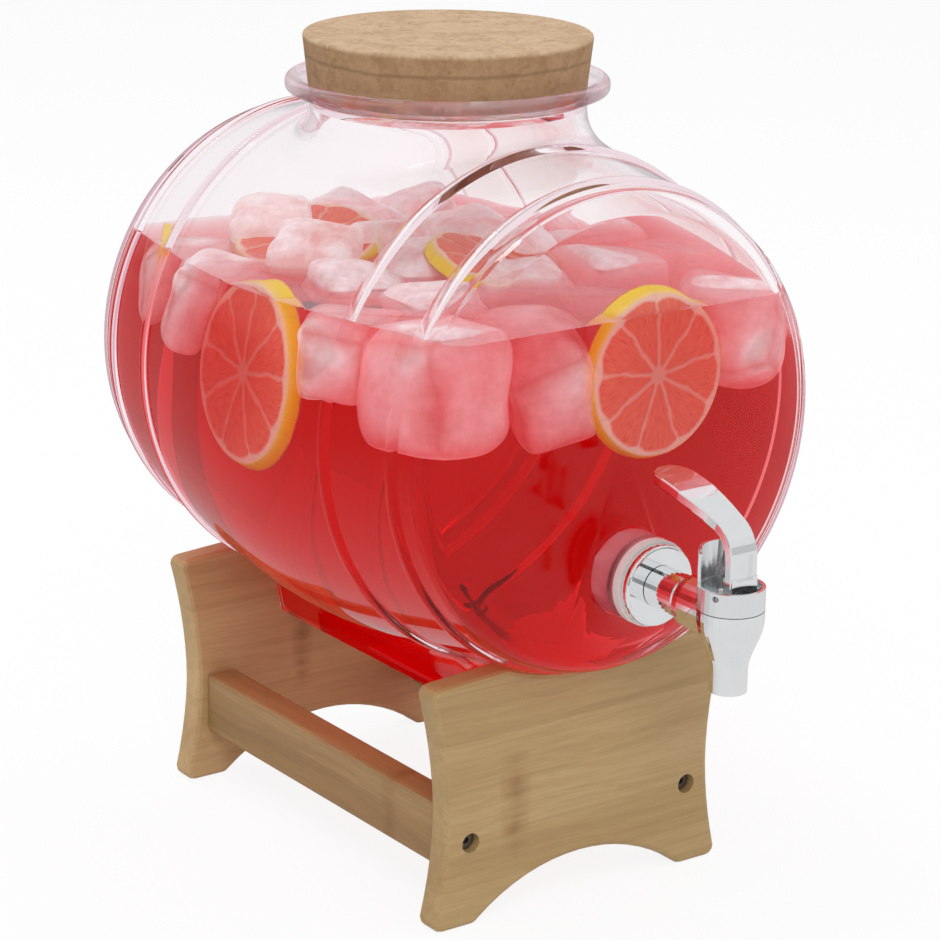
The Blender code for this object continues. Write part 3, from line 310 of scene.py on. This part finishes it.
def cork():
    """Fine pressed granules. The sides get painted shade, so they are darker than the top, with a faint seam halfway.
    """
    look = Look("cork", Roughness=0.85)
    spot = look.place()
    grains = look.node("TexVoronoi", {}, {"Vector": spot, "Scale": 520.0})
    tint = look.node("TexVoronoi", {}, {"Vector": spot, "Scale": 520.0}, "Color")
    patches = look.node("TexVoronoi", {}, {"Vector": spot, "Scale": 150.0}, "Color")
    tone = look.node("SeparateColor", {}, {0: tint}) * 0.3 + look.node("SeparateColor", {}, {0: patches}) * 0.3
    broad = look.noise(spot, 60, 4, 0.6)
    fine = look.noise(spot, 900, 3, 0.7)
    colour = look.ramp(tone + broad * 0.4, (0.15, (0.4, 0.26, 0.145)), (0.5, (0.52, 0.355, 0.215)),
                       (0.85, (0.6, 0.425, 0.275)))
    height = look.parts(spot)[2]
    # Painted shade: this mask picks the sides below the top edge, which are darkened to look less lit than the top.
    side = look.between(height, 0.3325, 0.334, 1.0, 0.0)
    seam = look.between((height - 0.3262 + (broad - 0.5) * 0.003).maths("ABSOLUTE"), 0.0003, 0.0011, 0.5, 0.0)
    colour = look.mix(side, colour, look.mix(0.8, colour, (0.66, 0.53, 0.4), "MULTIPLY"))
    colour = look.mix(side * seam, colour, (0.2, 0.11, 0.05))
    pits = look.between(look.noise(spot, 330, 2, 0.5), 0.25, 0.31)
    colour = look.mix(pits, (0.3, 0.17, 0.08), colour)
    relief = look.between(grains, 0.0, 0.5) * 0.3 + fine * 0.35 + pits * 0.35
    look.set(Base_Color=colour, Normal=look.bump(relief, 0.35, 0.0006),
             Roughness=look.between(fine, 0.3, 0.7, 0.75, 0.95))
    return look.owner


def bamboo(name, grain, tones, marks=()):
    """Bamboo strips glued together, with wavy fibres along the grain axis and darker node marks at given places."""
    look = Look(name, Roughness=0.5, IOR=1.45)
    along = "XYZ".index(grain)
    spot = look.place()
    axes = look.parts(spot)
    slow = [1.0, 1.0, 1.0]
    slow[along] = 0.45
    drift = look.noise(look.place(scale=tuple(slow)), 24, 2, 0.4) - 0.5
    run = [axis * 0.035 if i == along else axis + drift * 0.009 for i, axis in enumerate(axes)]
    fibre_spot = look.node("CombineXYZ", {}, dict(enumerate(run)))
    fibres = look.noise(fibre_spot, 1400, 2, 0.6)
    streaks = look.noise(fibre_spot, 300, 3, 0.65)
    broad = look.noise(fibre_spot, 55, 2, 0.5)
    strip = (axes[2] + drift * 0.001 + 0.004) / 0.0205
    seam = look.between((strip.maths("FRACT") - 0.5).maths("ABSOLUTE"), 0.485, 0.498)
    tone = look.node("TexWhiteNoise", {"noise_dimensions": "1D"}, {"W": strip.maths("FLOOR")})
    share = fibres * 0.24 + streaks * 0.4 + broad * 0.28 + tone * 0.08
    colour = look.ramp(share, (0.3, tones[0]), (0.5, tones[1]), (0.7, tones[2]))
    colour = look.mix(seam * 0.16, colour, (0.2, 0.11, 0.04))
    dark = look.between(streaks * 0.5 + fibres * 0.5, 0.6, 0.72)
    colour = look.mix(dark * 0.4, colour, (0.24, 0.13, 0.045))
    for place, low, high, width in marks:
        wander = look.noise(spot, 70, 3, 0.6) - 0.5
        off = (axes[along] + wander * 0.009 - place).maths("ABSOLUTE")
        band = look.between(off, 0.0, width, 1.0, 0.0)
        fray = look.between(look.noise(fibre_spot, 200, 3, 0.6), 0.35, 0.62, 0.15, 1.0)
        inside = look.between(axes[2], low, low + 0.006) * look.between(axes[2], high - 0.006, high, 1.0, 0.0)
        colour = look.mix(band * fray * inside * 0.75, colour, (0.25, 0.12, 0.035))
    look.set(Base_Color=colour, Normal=look.bump(fibres * 0.5 + streaks * 0.5, 0.14, 0.0004),
             Roughness=look.between(streaks, 0.3, 0.7, 0.42, 0.6))
    return look.owner


def plated(name, colour, low, high):
    look = Look(name, Metallic=1.0, Base_Color=colour)
    spot = look.place()
    smear = look.noise(spot, 130, 3, 0.6)
    fine = look.noise(spot, 900, 2, 0.5)
    tint = look.mix(look.between(smear, 0.3, 0.7), tuple(c * 0.97 for c in colour), colour)
    look.set(Base_Color=tint, Roughness=look.between(smear, 0.3, 0.7, low, high), Normal=look.bump(fine, 0.02, 0.0002))
    return look.owner


def moulded(name, colour, rough, **more):
    look = Look(name, Base_Color=colour, **more)
    spot = look.place()
    cloud = look.noise(spot, 180, 3, 0.6)
    fine = look.noise(spot, 1600, 2, 0.5)
    tint = look.mix(look.between(cloud, 0.3, 0.7), tuple(c * 0.94 for c in colour), colour)
    look.set(Base_Color=tint, Roughness=look.between(cloud, 0.3, 0.7, rough, rough + 0.12),
             Normal=look.bump(fine, 0.08, 0.0002))
    return look.owner


def seen_white(look):
    """1 for rays from the camera and for what glass and metal show it. Light that has met a dull surface gets 0."""
    rays = [look.node("LightPath", output=name) for name in ("Is Camera Ray", "Is Glossy Ray", "Is Transmission Ray")]
    shown = rays[0].maths("MAXIMUM", rays[1].maths("MAXIMUM", rays[2]))
    return shown * look.past("Diffuse Depth", 0, 1.0, 0.0)


def mirrored_ray(look):
    """1 for rays that metal or the outside of the glass mirrors, and 0 for those that have been through glass."""
    return look.node("LightPath", output="Is Glossy Ray") * look.past("Transmission Depth", 0, 1.0, 0.0)


def spun(outline, steps, turn=None, shift=(0, 0, 0)):
    """A bmesh of a closed turned form; the outline's (radius, height) points start and end on the axis."""
    cage = bmesh.new()
    points = [cage.verts.new((radius, 0, height)) for radius, height in outline]
    edges = [cage.edges.new(pair) for pair in zip(points, points[1:])]
    bmesh.ops.spin(cage, geom=points + edges, cent=(0, 0, 0), axis=(0, 0, 1), angle=math.tau, steps=steps,
                   use_merge=True)
    bmesh.ops.remove_doubles(cage, verts=cage.verts, dist=1e-6)
    if turn:
        bmesh.ops.rotate(cage, cent=(0, 0, 0), matrix=turn, verts=cage.verts)
    bmesh.ops.translate(cage, vec=shift, verts=cage.verts)
    bmesh.ops.recalc_face_normals(cage, faces=cage.faces)
    return cage


LYING = Matrix.Rotation(math.pi / 2, 3, "X")


def piece(name, cage, look=None, smooth=True):
    mesh = bpy.data.meshes.new(name)
    cage.to_mesh(mesh)
    cage.free()
    made = bpy.data.objects.new(name, mesh)
    bpy.context.scene.collection.objects.link(made)
    if look:
        mesh.materials.append(look)
    if smooth:
        mesh.shade_smooth()
    return made


def combined(base, *steps):
    """The base piece after exact joins and cuts with other pieces, which are used up."""
    for tool, operation in steps:
        change = base.modifiers.new(tool.name, "BOOLEAN")
        change.operation, change.object = operation, tool
    graph = bpy.context.evaluated_depsgraph_get()
    mesh = bpy.data.meshes.new_from_object(base.evaluated_get(graph))
    cage = bmesh.new()
    cage.from_mesh(mesh)
    for spare in [tool for tool, _ in steps] + [base]:
        bpy.data.objects.remove(spare)
    return cage


def arc(centre, radius, start, end, count):
    turns = [start + (end - start) * i / count for i in range(count + 1)]
    return [(centre[0] + radius * math.cos(turn), centre[1] + radius * math.sin(turn)) for turn in turns]


def belly_radius(along):
    return BELLY_RADIUS + CROWN - math.hypot(CROWN, FLANK_SLOPE * along)


def hoop_rise(along):
    nearest = min(abs(abs(along) - place) for place in HOOPS)
    if nearest >= HOOP_WIDTH / 2:
        return 0
    bead = (HOOP_WIDTH**2 / 4 + HOOP_RISE**2) / (2 * HOOP_RISE)
    return math.sqrt(bead**2 - nearest**2) - bead + HOOP_RISE


def barrel_outline(inset, hoops):
    """Barrel outline with its flanks a given wall in; hoops stand off only the outside."""
    end_in = inset * END_WALL / WALL
    half = HALF_LENGTH - end_in
    corner = CORNER - min(inset, 0.002)
    flank_end = half - corner
    base = belly_radius(flank_end) - inset - corner
    front = arc((base, flank_end), corner, math.pi / 2, 0, 10)
    step = 0.0005 if hoops else 0.004
    count = round(2 * flank_end / step)
    flank = []
    for i in range(1, count):
        along = flank_end * (1 - 2 * i / count)
        near = min(abs(abs(along) - place) for place in HOOPS)
        if hoops and near > HOOP_WIDTH * 0.7 and i % 6:
            continue
        flank.append((belly_radius(along) - inset + (hoop_rise(along) if hoops else 0), along))
    rear = [(radius, -along) for radius, along in reversed(front)]
    return [(0, half)] + front + flank + rear + [(0, -half)]


def foot_sides(z, inset):
    """Half width and half length of the foot at a height. The drink shows right to its skin, so its wall is thin."""
    down, wall = FOOT_HEIGHT - (z - FOOT_Z), inset * FOOT_WALL_SHARE
    return FOOT_HALF_WIDTH - FOOT_DRAFT * down - wall, FOOT_HALF_LENGTH - FOOT_END_DRAFT * down - wall


def foot_cage(inset):
    """The foot's tapered block, a given wall in, with rounded edges. It reaches up into the belly."""
    cage = bmesh.new()
    bmesh.ops.create_cube(cage, size=1)
    top, bottom = FOOT_Z + FOOT_HEIGHT, FOOT_Z + inset * FOOT_WALL_SHARE
    for corner in cage.verts:
        z = top if corner.co.z > 0 else bottom
        wide, long = foot_sides(z, inset)
        corner.co = (math.copysign(wide, corner.co.x), BARREL_Y + math.copysign(long, corner.co.y), z)
    bmesh.ops.bevel(cage, geom=cage.edges[:], offset=FOOT_EDGE, segments=4, profile=0.5, affect="EDGES", material=-1)
    long_edges = [edge for edge in cage.edges if edge.calc_length() > 0.01]
    bmesh.ops.subdivide_edges(cage, edges=long_edges, cuts=24, use_grid_fill=True)
    return cage


def neck_outline(inset):
    """Outline of the neck with its lip, or of its bore and mouth, which reach a little past the glass."""
    if inset:
        low = AXIS_Z + 0.04
        over = RIM_Z + 0.004
        slope = (MOUTH_RADIUS - BORE_RADIUS) / MOUTH_DEPTH
        side = [(BORE_RADIUS + WALL - inset, BELLY_TOP_Z - 0.004 - i * 0.003) for i in range(12)]
        return [(0, over), (MOUTH_RADIUS + slope * 0.004, over), (MOUTH_RADIUS, RIM_Z),
                (BORE_RADIUS + WALL - inset, RIM_Z - MOUTH_DEPTH)] + side + [(0, low)]
    centre = LIP_RADIUS - LIP_ROUNDING
    top = arc((centre, RIM_Z - LIP_ROUNDING), LIP_ROUNDING, math.pi / 2, 0, 6)
    under = arc((centre, RIM_Z - LIP_HEIGHT + LIP_ROUNDING), LIP_ROUNDING, 0, -math.pi / 2, 6)
    wall = [(NECK_RADIUS, RIM_Z - LIP_HEIGHT - 0.003 - i * 0.0012) for i in range(26)]
    return [(0, RIM_Z)] + top + under + wall + [(0, wall[-1][1])]


def barrel_gap(spot, inset):
    """How far a spot is outside the barrel, a given wall in; below zero inside it."""
    along = abs(spot.y - BARREL_Y)
    side = math.hypot(spot.x, spot.z - AXIS_Z) - belly_radius(along) + inset
    end = along - HALF_LENGTH + inset * END_WALL / WALL
    if not inset:
        side -= hoop_rise(along)
    if side > -CORNER and end > -CORNER:
        return math.hypot(side + CORNER, end + CORNER) - CORNER
    return max(side, end)


def neck_gap(spot, inset):
    radius = NECK_RADIUS if not inset else BORE_RADIUS + WALL - inset
    return math.hypot(spot.x, spot.y - BARREL_Y) - radius


def foot_gap(spot, inset):
    wide, long = foot_sides(spot.z, inset)
    below = FOOT_Z + inset * FOOT_WALL_SHARE - spot.z
    sides = [side + FOOT_EDGE for side in (abs(spot.x) - wide, abs(spot.y - BARREL_Y) - long, below)]
    outer = Vector(max(side, 0) for side in sides).length
    return outer + min(max(sides), 0) - FOOT_EDGE


def boss_gap(spot, inset):
    return math.hypot(spot.x, spot.z - TAP_Z) - BOSS_RADIUS


def joint_near(spot, inset):
    """What the barrel is joined to near a spot, and the reach of the fillet between them."""
    if AXIS_Z < spot.z < BELLY_TOP_Z + 0.0035 and math.hypot(spot.x, spot.y - BARREL_Y) < NECK_RADIUS + 0.016:
        return neck_gap, NECK_FILLET
    if spot.z < 0.115 and abs(spot.x) < 0.05 and abs(spot.y - BARREL_Y) < 0.1:
        return foot_gap, FOOT_FILLET
    if not inset and math.hypot(spot.x, spot.z - TAP_Z) < BOSS_RADIUS + 0.008 and spot.y < FRONT_Y + 0.002:
        return boss_gap, BOSS_FILLET
    return barrel_gap, 0.0


def glass_gap(spot, inset, joint):
    """How far a spot is outside the glass's form, a given wall in, with its joints drawn into fillets."""
    other, reach = joint
    first = barrel_gap(spot, inset)
    if not reach:
        return first
    second = other(spot, inset)
    overlap = max(reach - abs(first - second), 0)
    return min(first, second) - overlap * overlap / (4 * reach)


def gap_slope(spot, inset, joint):
    here, tiny = glass_gap(spot, inset, joint), 0.00002
    axes = (Vector((tiny, 0, 0)), Vector((0, tiny, 0)), Vector((0, 0, tiny)))
    return here, Vector((glass_gap(spot + axis, inset, joint) - here) / tiny for axis in axes)


def melted(cage, inset):
    """Draws each joint of the glass into a smooth fillet."""
    for point in cage.verts:
        spot = point.co
        joint = joint_near(spot, inset)
        other, reach = joint
        if not reach or abs(barrel_gap(spot, inset) - other(spot, inset)) > reach:
            continue
        for _ in range(4):
            here, slope = gap_slope(spot, inset, joint)
            spot = spot - slope * (here / max(slope.length_squared, 0.2))
        point.co = spot


def exact_normals(made, *walls):
    """Sets the normals of the exact form on its small faces, so light bends evenly. Walls are (inset, direction)."""
    mesh = made.data
    fans = [corner.vector.copy() for corner in mesh.corner_normals]
    known = []
    for point in mesh.vertices:
        found = []
        for inset, direction in walls:
            here, slope = gap_slope(point.co, inset, joint_near(point.co, inset))
            if abs(here) < 0.0003 and slope.length > 0.3:
                found.append(slope.normalized() * direction)
        known.append(found)
    for face in mesh.polygons:
        for corner in face.loop_indices:
            for normal in known[mesh.loops[corner].vertex_index]:
                if normal.dot(face.normal) > 0.85:
                    fans[corner] = normal
    mesh.normals_split_custom_set(fans)


def finer(cage, near, length):
    """Splits the edges near a joint until they are short enough for its fillet."""
    for _ in range(4):
        edges = [edge for edge in cage.edges
                 if edge.calc_length() > length and near((edge.verts[0].co + edge.verts[1].co) / 2)]
        if not edges:
            break
        bmesh.ops.subdivide_edges(cage, edges=edges, cuts=1, use_grid_fill=True)
    return cage


def glass_form(inset):
    """Closed outer form of the vessel at inset 0, and the space inside it at a wall's inset."""
    barrel = spun(barrel_outline(inset, not inset), 192 if not inset else 160, LYING, (0, BARREL_Y, AXIS_Z))

    def near_joint(spot):
        if spot.z > AXIS_Z:
            return abs(neck_gap(spot, inset)) < 0.014
        if spot.y < FRONT_Y + 0.0005 and not inset:
            return abs(boss_gap(spot, 0)) < 0.006
        return spot.z < 0.115 and abs(foot_gap(spot, inset)) < 0.008

    finer(barrel, near_joint, 0.0022)
    steps = [(piece("neck", spun(neck_outline(inset), 160, shift=(0, BARREL_Y, 0))), "UNION"),
             (piece("foot", foot_cage(inset)), "UNION")]
    if not inset:
        face = arc((BOSS_RADIUS - BOSS_EDGE, BOSS_LENGTH - BOSS_EDGE), BOSS_EDGE, math.pi / 2, 0, 5)
        side = [(BOSS_RADIUS, (BOSS_LENGTH - BOSS_EDGE) * (1 - i / 12)) for i in range(1, 13)]
        boss = [(0, BOSS_LENGTH)] + face + side + [(BOSS_RADIUS, -0.002), (0, -0.002)]
        steps.append((piece("boss", spun(boss, 72, LYING, (0, FRONT_Y, TAP_Z))), "UNION"))
    cage = combined(piece("barrel", barrel), *steps)
    bmesh.ops.triangulate(cage, faces=cage.faces, quad_method="BEAUTY", ngon_method="BEAUTY")
    melted(cage, inset)
    return cage


def boss_plug(name, radius, front, back, count):
    """A cylinder on the tap's axis, from one distance before the glass's front to another."""
    outline = [(0, front), (radius, front), (radius, back), (0, back)]
    return piece(name, spun(outline, count, LYING, (0, FRONT_Y, TAP_Z)))


def glass_vessel(look):
    outer = piece("outer", glass_form(0))
    hollow = piece("hollow", glass_form(WALL))
    recess = boss_plug("recess", RECESS_RADIUS, BOSS_LENGTH - BOSS_WALL, RECESS_END, 60)
    hole = boss_plug("hole", HOLE_RADIUS, BOSS_LENGTH + 0.003, 0.002, 40)
    steps = [(tool, "DIFFERENCE") for tool in (hollow, recess, hole)]
    cage = combined(outer, *steps)
    inner = cage.faces.layers.float.new("inner")
    for face in cage.faces:
        middle = face.calc_center_median()
        outside = min(barrel_gap(middle, 0), neck_gap(middle, 0), foot_gap(middle, 0), boss_gap(middle, 0))
        face[inner] = outside < -WALL * 0.3 and middle.y > FRONT_Y - 0.0095 and middle.z < RIM_Z - MOUTH_DEPTH
    made = piece("glass_vessel", cage, look)
    exact_normals(made, (0, 1), (WALL, -1))
    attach(made, "vessel")
    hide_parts(*[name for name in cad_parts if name.startswith("glass_")])


def drink(look):
    """The drink up to its level. Its skin laps a little into the glass wall, so no air shows between."""
    in_boss = boss_plug("in_boss", RECESS_RADIUS + DRINK_LAP, BOSS_LENGTH - BOSS_WALL + DRINK_LAP, RECESS_END, 60)
    cage = combined(piece("form", glass_form(WALL - DRINK_LAP)), (in_boss, "UNION"))
    cut = bmesh.ops.bisect_plane(cage, geom=cage.verts[:] + cage.edges[:] + cage.faces[:], plane_co=(0, 0, WATER_Z),
                                 plane_no=(0, 0, 1), clear_outer=True)
    rim = [part for part in cut["geom_cut"] if isinstance(part, bmesh.types.BMEdge)]
    bmesh.ops.contextual_create(cage, geom=rim)
    top = [face for face in cage.faces if abs(face.normal.z) > 0.99 and face.calc_center_median().z > WATER_Z - 0.0001]
    bmesh.ops.triangulate(cage, faces=top, quad_method="BEAUTY", ngon_method="BEAUTY")
    made = piece("red_drink", cage, look)
    made.data.set_sharp_from_angle(angle=math.radians(50))
    exact_normals(made, (WALL - DRINK_LAP, 1))
    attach(made, "vessel")


def ice_block(name, look, size, spot, turn, seed):
    """A block of ice with melted edges. Its core value is 1 in the middle of each side and falls off to the edges."""
    cage = bmesh.new()
    bmesh.ops.create_cube(cage, size=1)
    bmesh.ops.subdivide_edges(cage, edges=cage.edges[:], cuts=9, use_grid_fill=True)
    core = cage.verts.layers.float.new("core")
    for point in cage.verts:
        reach = sorted(abs(side) * 2 for side in point.co)
        point[core] = 1 - 0.6 * min(max((reach[1] - 0.3) / 0.7, 0), 1) ** 2
        point.co *= 1 / sum(side**5 for side in reach) ** 0.2
    bmesh.ops.scale(cage, vec=size, verts=cage.verts)
    for point in cage.verts:
        drift = noise.noise_vector(point.co * 48 + Vector((seed * 7.3, seed * 3.1, seed)))
        point.co += drift * 0.0042
    bmesh.ops.smooth_vert(cage, verts=cage.verts, factor=0.5, use_axis_x=True, use_axis_y=True, use_axis_z=True)
    bmesh.ops.rotate(cage, cent=(0, 0, 0), matrix=turn.to_matrix(), verts=cage.verts)
    bmesh.ops.translate(cage, vec=spot, verts=cage.verts)
    made = piece(name, cage, look)
    finish = made.modifiers.new("rounded", "SUBSURF")
    finish.levels = finish.render_levels = 1
    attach(made, "vessel")


# Ice blocks, in millimetres: place of the middle, and length of a side
ICE = (
    (-66, -51, 219, 42), (-22, -54, 214, 38), (24, -46, 218, 34), (69, -54, 222, 38),
    (-80, -14, 224, 35), (-40, -14, 226, 37), (4, -10, 226, 36), (46, -12, 226, 36), (82, -8, 220, 32),
    (-50, 26, 231, 36), (-12, 30, 233, 35), (28, 30, 232, 37), (68, 30, 226, 36),
    (-80, 84, 225, 34), (-44, 68, 235, 38), (-4, 72, 234, 36), (36, 72, 234, 37), (74, 70, 224, 33),
    (-70, 118, 224, 32), (-34, 112, 237, 38), (6, 114, 236, 37), (42, 114, 234, 36), (70, 108, 223, 32),
)


def ice(look):
    """All the blocks. Both the melting noise and the dice are seeded, so each run gives the same blocks."""
    noise.seed_set(5)
    dice = random.Random(11)
    for number, (x, y, z, side) in enumerate(ICE, 1):
        size = [side * dice.uniform(0.9, 1.1) / 1000 for _ in range(3)]
        turn = Euler([dice.uniform(-0.4, 0.4) for _ in range(2)] + [dice.uniform(-0.7, 0.7)])
        ice_block(f"ice_{number:02d}", look, size, (x / 1000, y / 1000, z / 1000), turn, number)


def lemon_slice(name, look, radius, thickness, spot, facing):
    """A round slice with a soft edge, its face looking along a direction."""
    cage = bmesh.new()
    bmesh.ops.create_circle(cage, cap_ends=True, segments=64, radius=radius * 0.12)
    for share in (0.3, 0.45, 0.6, 0.74, 0.86, 0.94, 0.985):
        grown = bmesh.ops.extrude_edge_only(cage, edges=[edge for edge in cage.edges if edge.is_boundary])
        for part in grown["geom"]:
            if isinstance(part, bmesh.types.BMVert):
                part.co *= share * radius / part.co.length
    for point in cage.verts:
        share = point.co.length / radius
        turn = math.atan2(point.co.x, point.co.y)
        wedge = abs((turn * 9 / math.tau) % 1 - 0.5) * 2
        if 0.2 < share < 0.8:
            point.co.z += 0.0005 * (1 - wedge**6)
    bmesh.ops.solidify(cage, geom=cage.faces[:], thickness=-thickness)
    layer = cage.loops.layers.uv.new("slice")
    for face in cage.faces:
        for loop in face.loops:
            loop[layer].uv = (loop.vert.co.x / radius, loop.vert.co.y / radius)
    bmesh.ops.recalc_face_normals(cage, faces=cage.faces)
    turn = Vector(facing).to_track_quat("Z", "Y").to_matrix()
    bmesh.ops.rotate(cage, cent=(0, 0, 0), matrix=turn, verts=cage.verts)
    bmesh.ops.translate(cage, vec=spot, verts=cage.verts)
    made = piece(name, cage, look)
    edge = made.modifiers.new("soft_edge", "BEVEL")
    edge.width, edge.segments, edge.limit_method, edge.angle_limit = 0.0014, 3, "ANGLE", math.radians(50)
    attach(made, "vessel")


def camera():
    """The photograph's own view, fitted to the edges of the boards, the lip, the hoops and the tap."""
    azimuth, elevation, roll = (math.radians(angle) for angle in (-35.79, 17.06, 0.77))
    level = math.cos(elevation)
    back = Vector((math.sin(azimuth) * level, -math.cos(azimuth) * level, math.sin(elevation)))
    right = Vector((math.cos(azimuth), math.sin(azimuth), 0))
    up = back.cross(right)
    right, up = right * math.cos(roll) + up * math.sin(roll), up * math.cos(roll) - right * math.sin(roll)
    made = bpy.data.objects.new("camera", bpy.data.cameras.new("camera"))
    made.data.lens, made.data.sensor_width = 122.68, 36
    made.data.clip_end = 100
    place = Matrix((right, up, back)).transposed().to_4x4()
    place.translation = Vector((0.01347, BARREL_Y, 0.15095)) + back * 1.32781
    made.matrix_world = place
    bpy.context.scene.collection.objects.link(made)
    bpy.context.scene.camera = made


def lamp(name, place, aim, size, power, seen=False):
    data = bpy.data.lights.new(name, "AREA")
    data.shape, data.size, data.energy = "DISK", size, power
    made = bpy.data.objects.new(name, data)
    made.location = place
    made.rotation_euler = (Vector(place) - Vector(aim)).to_track_quat("Z", "Y").to_euler()
    made.visible_glossy = seen
    made.visible_transmission = False
    bpy.context.scene.collection.objects.link(made)


def studio():
    """An even white room. Metal and the outside of the glass mirror a darker tone of it, so that their edges show."""
    world = bpy.data.worlds.new("studio")
    bpy.context.scene.world = world
    look = Look("studio", owner=world)
    ambient = look.node("Background", {}, {"Color": (0.97, 0.985, 1.0), "Strength": 0.62})
    white = look.node("Background", {}, {"Color": (1.0, 1.0, 1.0), "Strength": 1.0})
    height = look.parts(look.node("TexCoord", output="Generated"))[2]
    room = look.ramp(height, (0.0, 0.38), (0.06, 0.26), (0.16, 0.66), (0.5, 0.76))
    soft = look.node("Background", {}, {"Color": room, "Strength": 1.0})
    shown = look.shaded(mirrored_ray(look), white, soft)
    out = look.tree.nodes.new("ShaderNodeOutputWorld")
    look.tree.links.new(look.shaded(seen_white(look), ambient, shown).socket, out.inputs["Surface"])

    floor_look = Look("floor", Base_Color=(0.92, 0.92, 0.92), Roughness=0.8)
    behind = floor_look.between(floor_look.parts(floor_look.place())[1], -0.1, 0.5)
    dim = floor_look.mix(behind, (0.7, 0.7, 0.7), (0.3, 0.3, 0.3))
    tone = floor_look.mix(mirrored_ray(floor_look), (1.0, 1.0, 1.0), dim)
    white = floor_look.node("Emission", {}, {"Color": tone, "Strength": 1.0})
    floor_look.show(floor_look.shaded(seen_white(floor_look) * 0.88, floor_look.shader, white))
    cage = bmesh.new()
    bmesh.ops.create_grid(cage, x_segments=4, y_segments=4, size=15)
    floor = piece("floor", cage, floor_look.owner)
    lamp("key", (-1.1, -1.5, 1.9), (0, 0, 0.15), 1.3, 22)
    lamp("fill", (1.8, -0.6, 1.2), (0, 0, 0.15), 1.2, 10)
    lamp("back", (-0.4, 1.8, 1.6), (0, 0, 0.2), 1.2, 9)
    lamp("above", (-0.35, 0.5, 1.75), (0, 0, 0.2), 0.35, 4, seen=True)


def dress(names, look):
    """Gives CAD nodes their look and leaves their meshes alone."""
    for name in names:
        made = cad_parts[name]
        for slot in made.material_slots:
            slot.material = look
        if not made.material_slots:
            made.data.materials.append(look)


bpy.context.scene.view_settings.view_transform = "Standard"
camera()
studio()
glass_vessel(clear_glass())
drink(red_drink())
ice(cloudy_ice())
slice_look = lemon()
lemon_slice("lemon_slice_front", slice_look, 0.0335, 0.007, (0.0185, -0.066, 0.2168), (0.05, -1, 0.05))
lemon_slice("lemon_slice_left", slice_look, 0.0365, 0.0085, (-0.0865, 0.0305, 0.2095), (-1, 0.16, 0.13))
lemon_slice("lemon_slice_back", slice_look, 0.031, 0.006, (-0.034, 0.086, 0.2405), (-0.25, -0.2, 1))
lemon_slice("lemon_slice_middle", slice_look, 0.03, 0.006, (0.004, 0.01, 0.2395), (0.25, -0.3, 1))
lemon_slice("lemon_slice_rear", slice_look, 0.021, 0.0035, (-0.074, 0.13, 0.2265), (0.81, -0.58, 0.05))
dress(["cork_lid"], cork())
front_tones = ((0.33, 0.205, 0.08), (0.415, 0.275, 0.118), (0.52, 0.365, 0.18))
dress(["front_board"], bamboo("front_bamboo", "X", front_tones, [(-0.0325, 0.022, 0.07, 0.008)]))
# Painted light: the rear board's tones are lighter than the front board's, making up for the shade the vessel casts on
# it.
lit_rear_tones = ((0.4, 0.245, 0.105), (0.5, 0.33, 0.155), (0.6, 0.42, 0.215))
dress(["rear_board"], bamboo("rear_bamboo", "X", lit_rear_tones, [(-0.012, 0.03, 0.075, 0.006)]))
rail_tones = ((0.25, 0.135, 0.045), (0.33, 0.19, 0.072), (0.43, 0.27, 0.12))
dress(["left_rail", "right_rail"], bamboo("rail_bamboo", "Y", rail_tones, [(-0.012, 0.0, 0.1, 0.006)]))
dress([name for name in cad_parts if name.endswith("_dowel")], moulded("dowel_wood", (0.5, 0.36, 0.2), 0.6))
dress([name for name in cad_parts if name.endswith("_screw")], plated("zinc_steel", (0.22, 0.21, 0.2), 0.3, 0.5))
dress(["tap_body", "tap_flange", "lever"], plated("chrome", (0.93, 0.945, 0.955), 0.03, 0.1))
dress(["bonnet"], plated("satin_chrome", (0.9, 0.915, 0.925), 0.18, 0.3))
dress(["lever_pin", "return_spring"], plated("pin_steel", (0.5, 0.5, 0.5), 0.2, 0.35))
dress(["outer_gasket", "inner_gasket", "valve_seal", "stem_ring"],
      moulded("silicone", (0.72, 0.64, 0.62), 0.35, Subsurface_Weight=0.3, Subsurface_Radius=(0.004, 0.003, 0.003)))
dress(["shank_nut", "valve_stem"], moulded("white_plastic", (0.8, 0.8, 0.79), 0.3))

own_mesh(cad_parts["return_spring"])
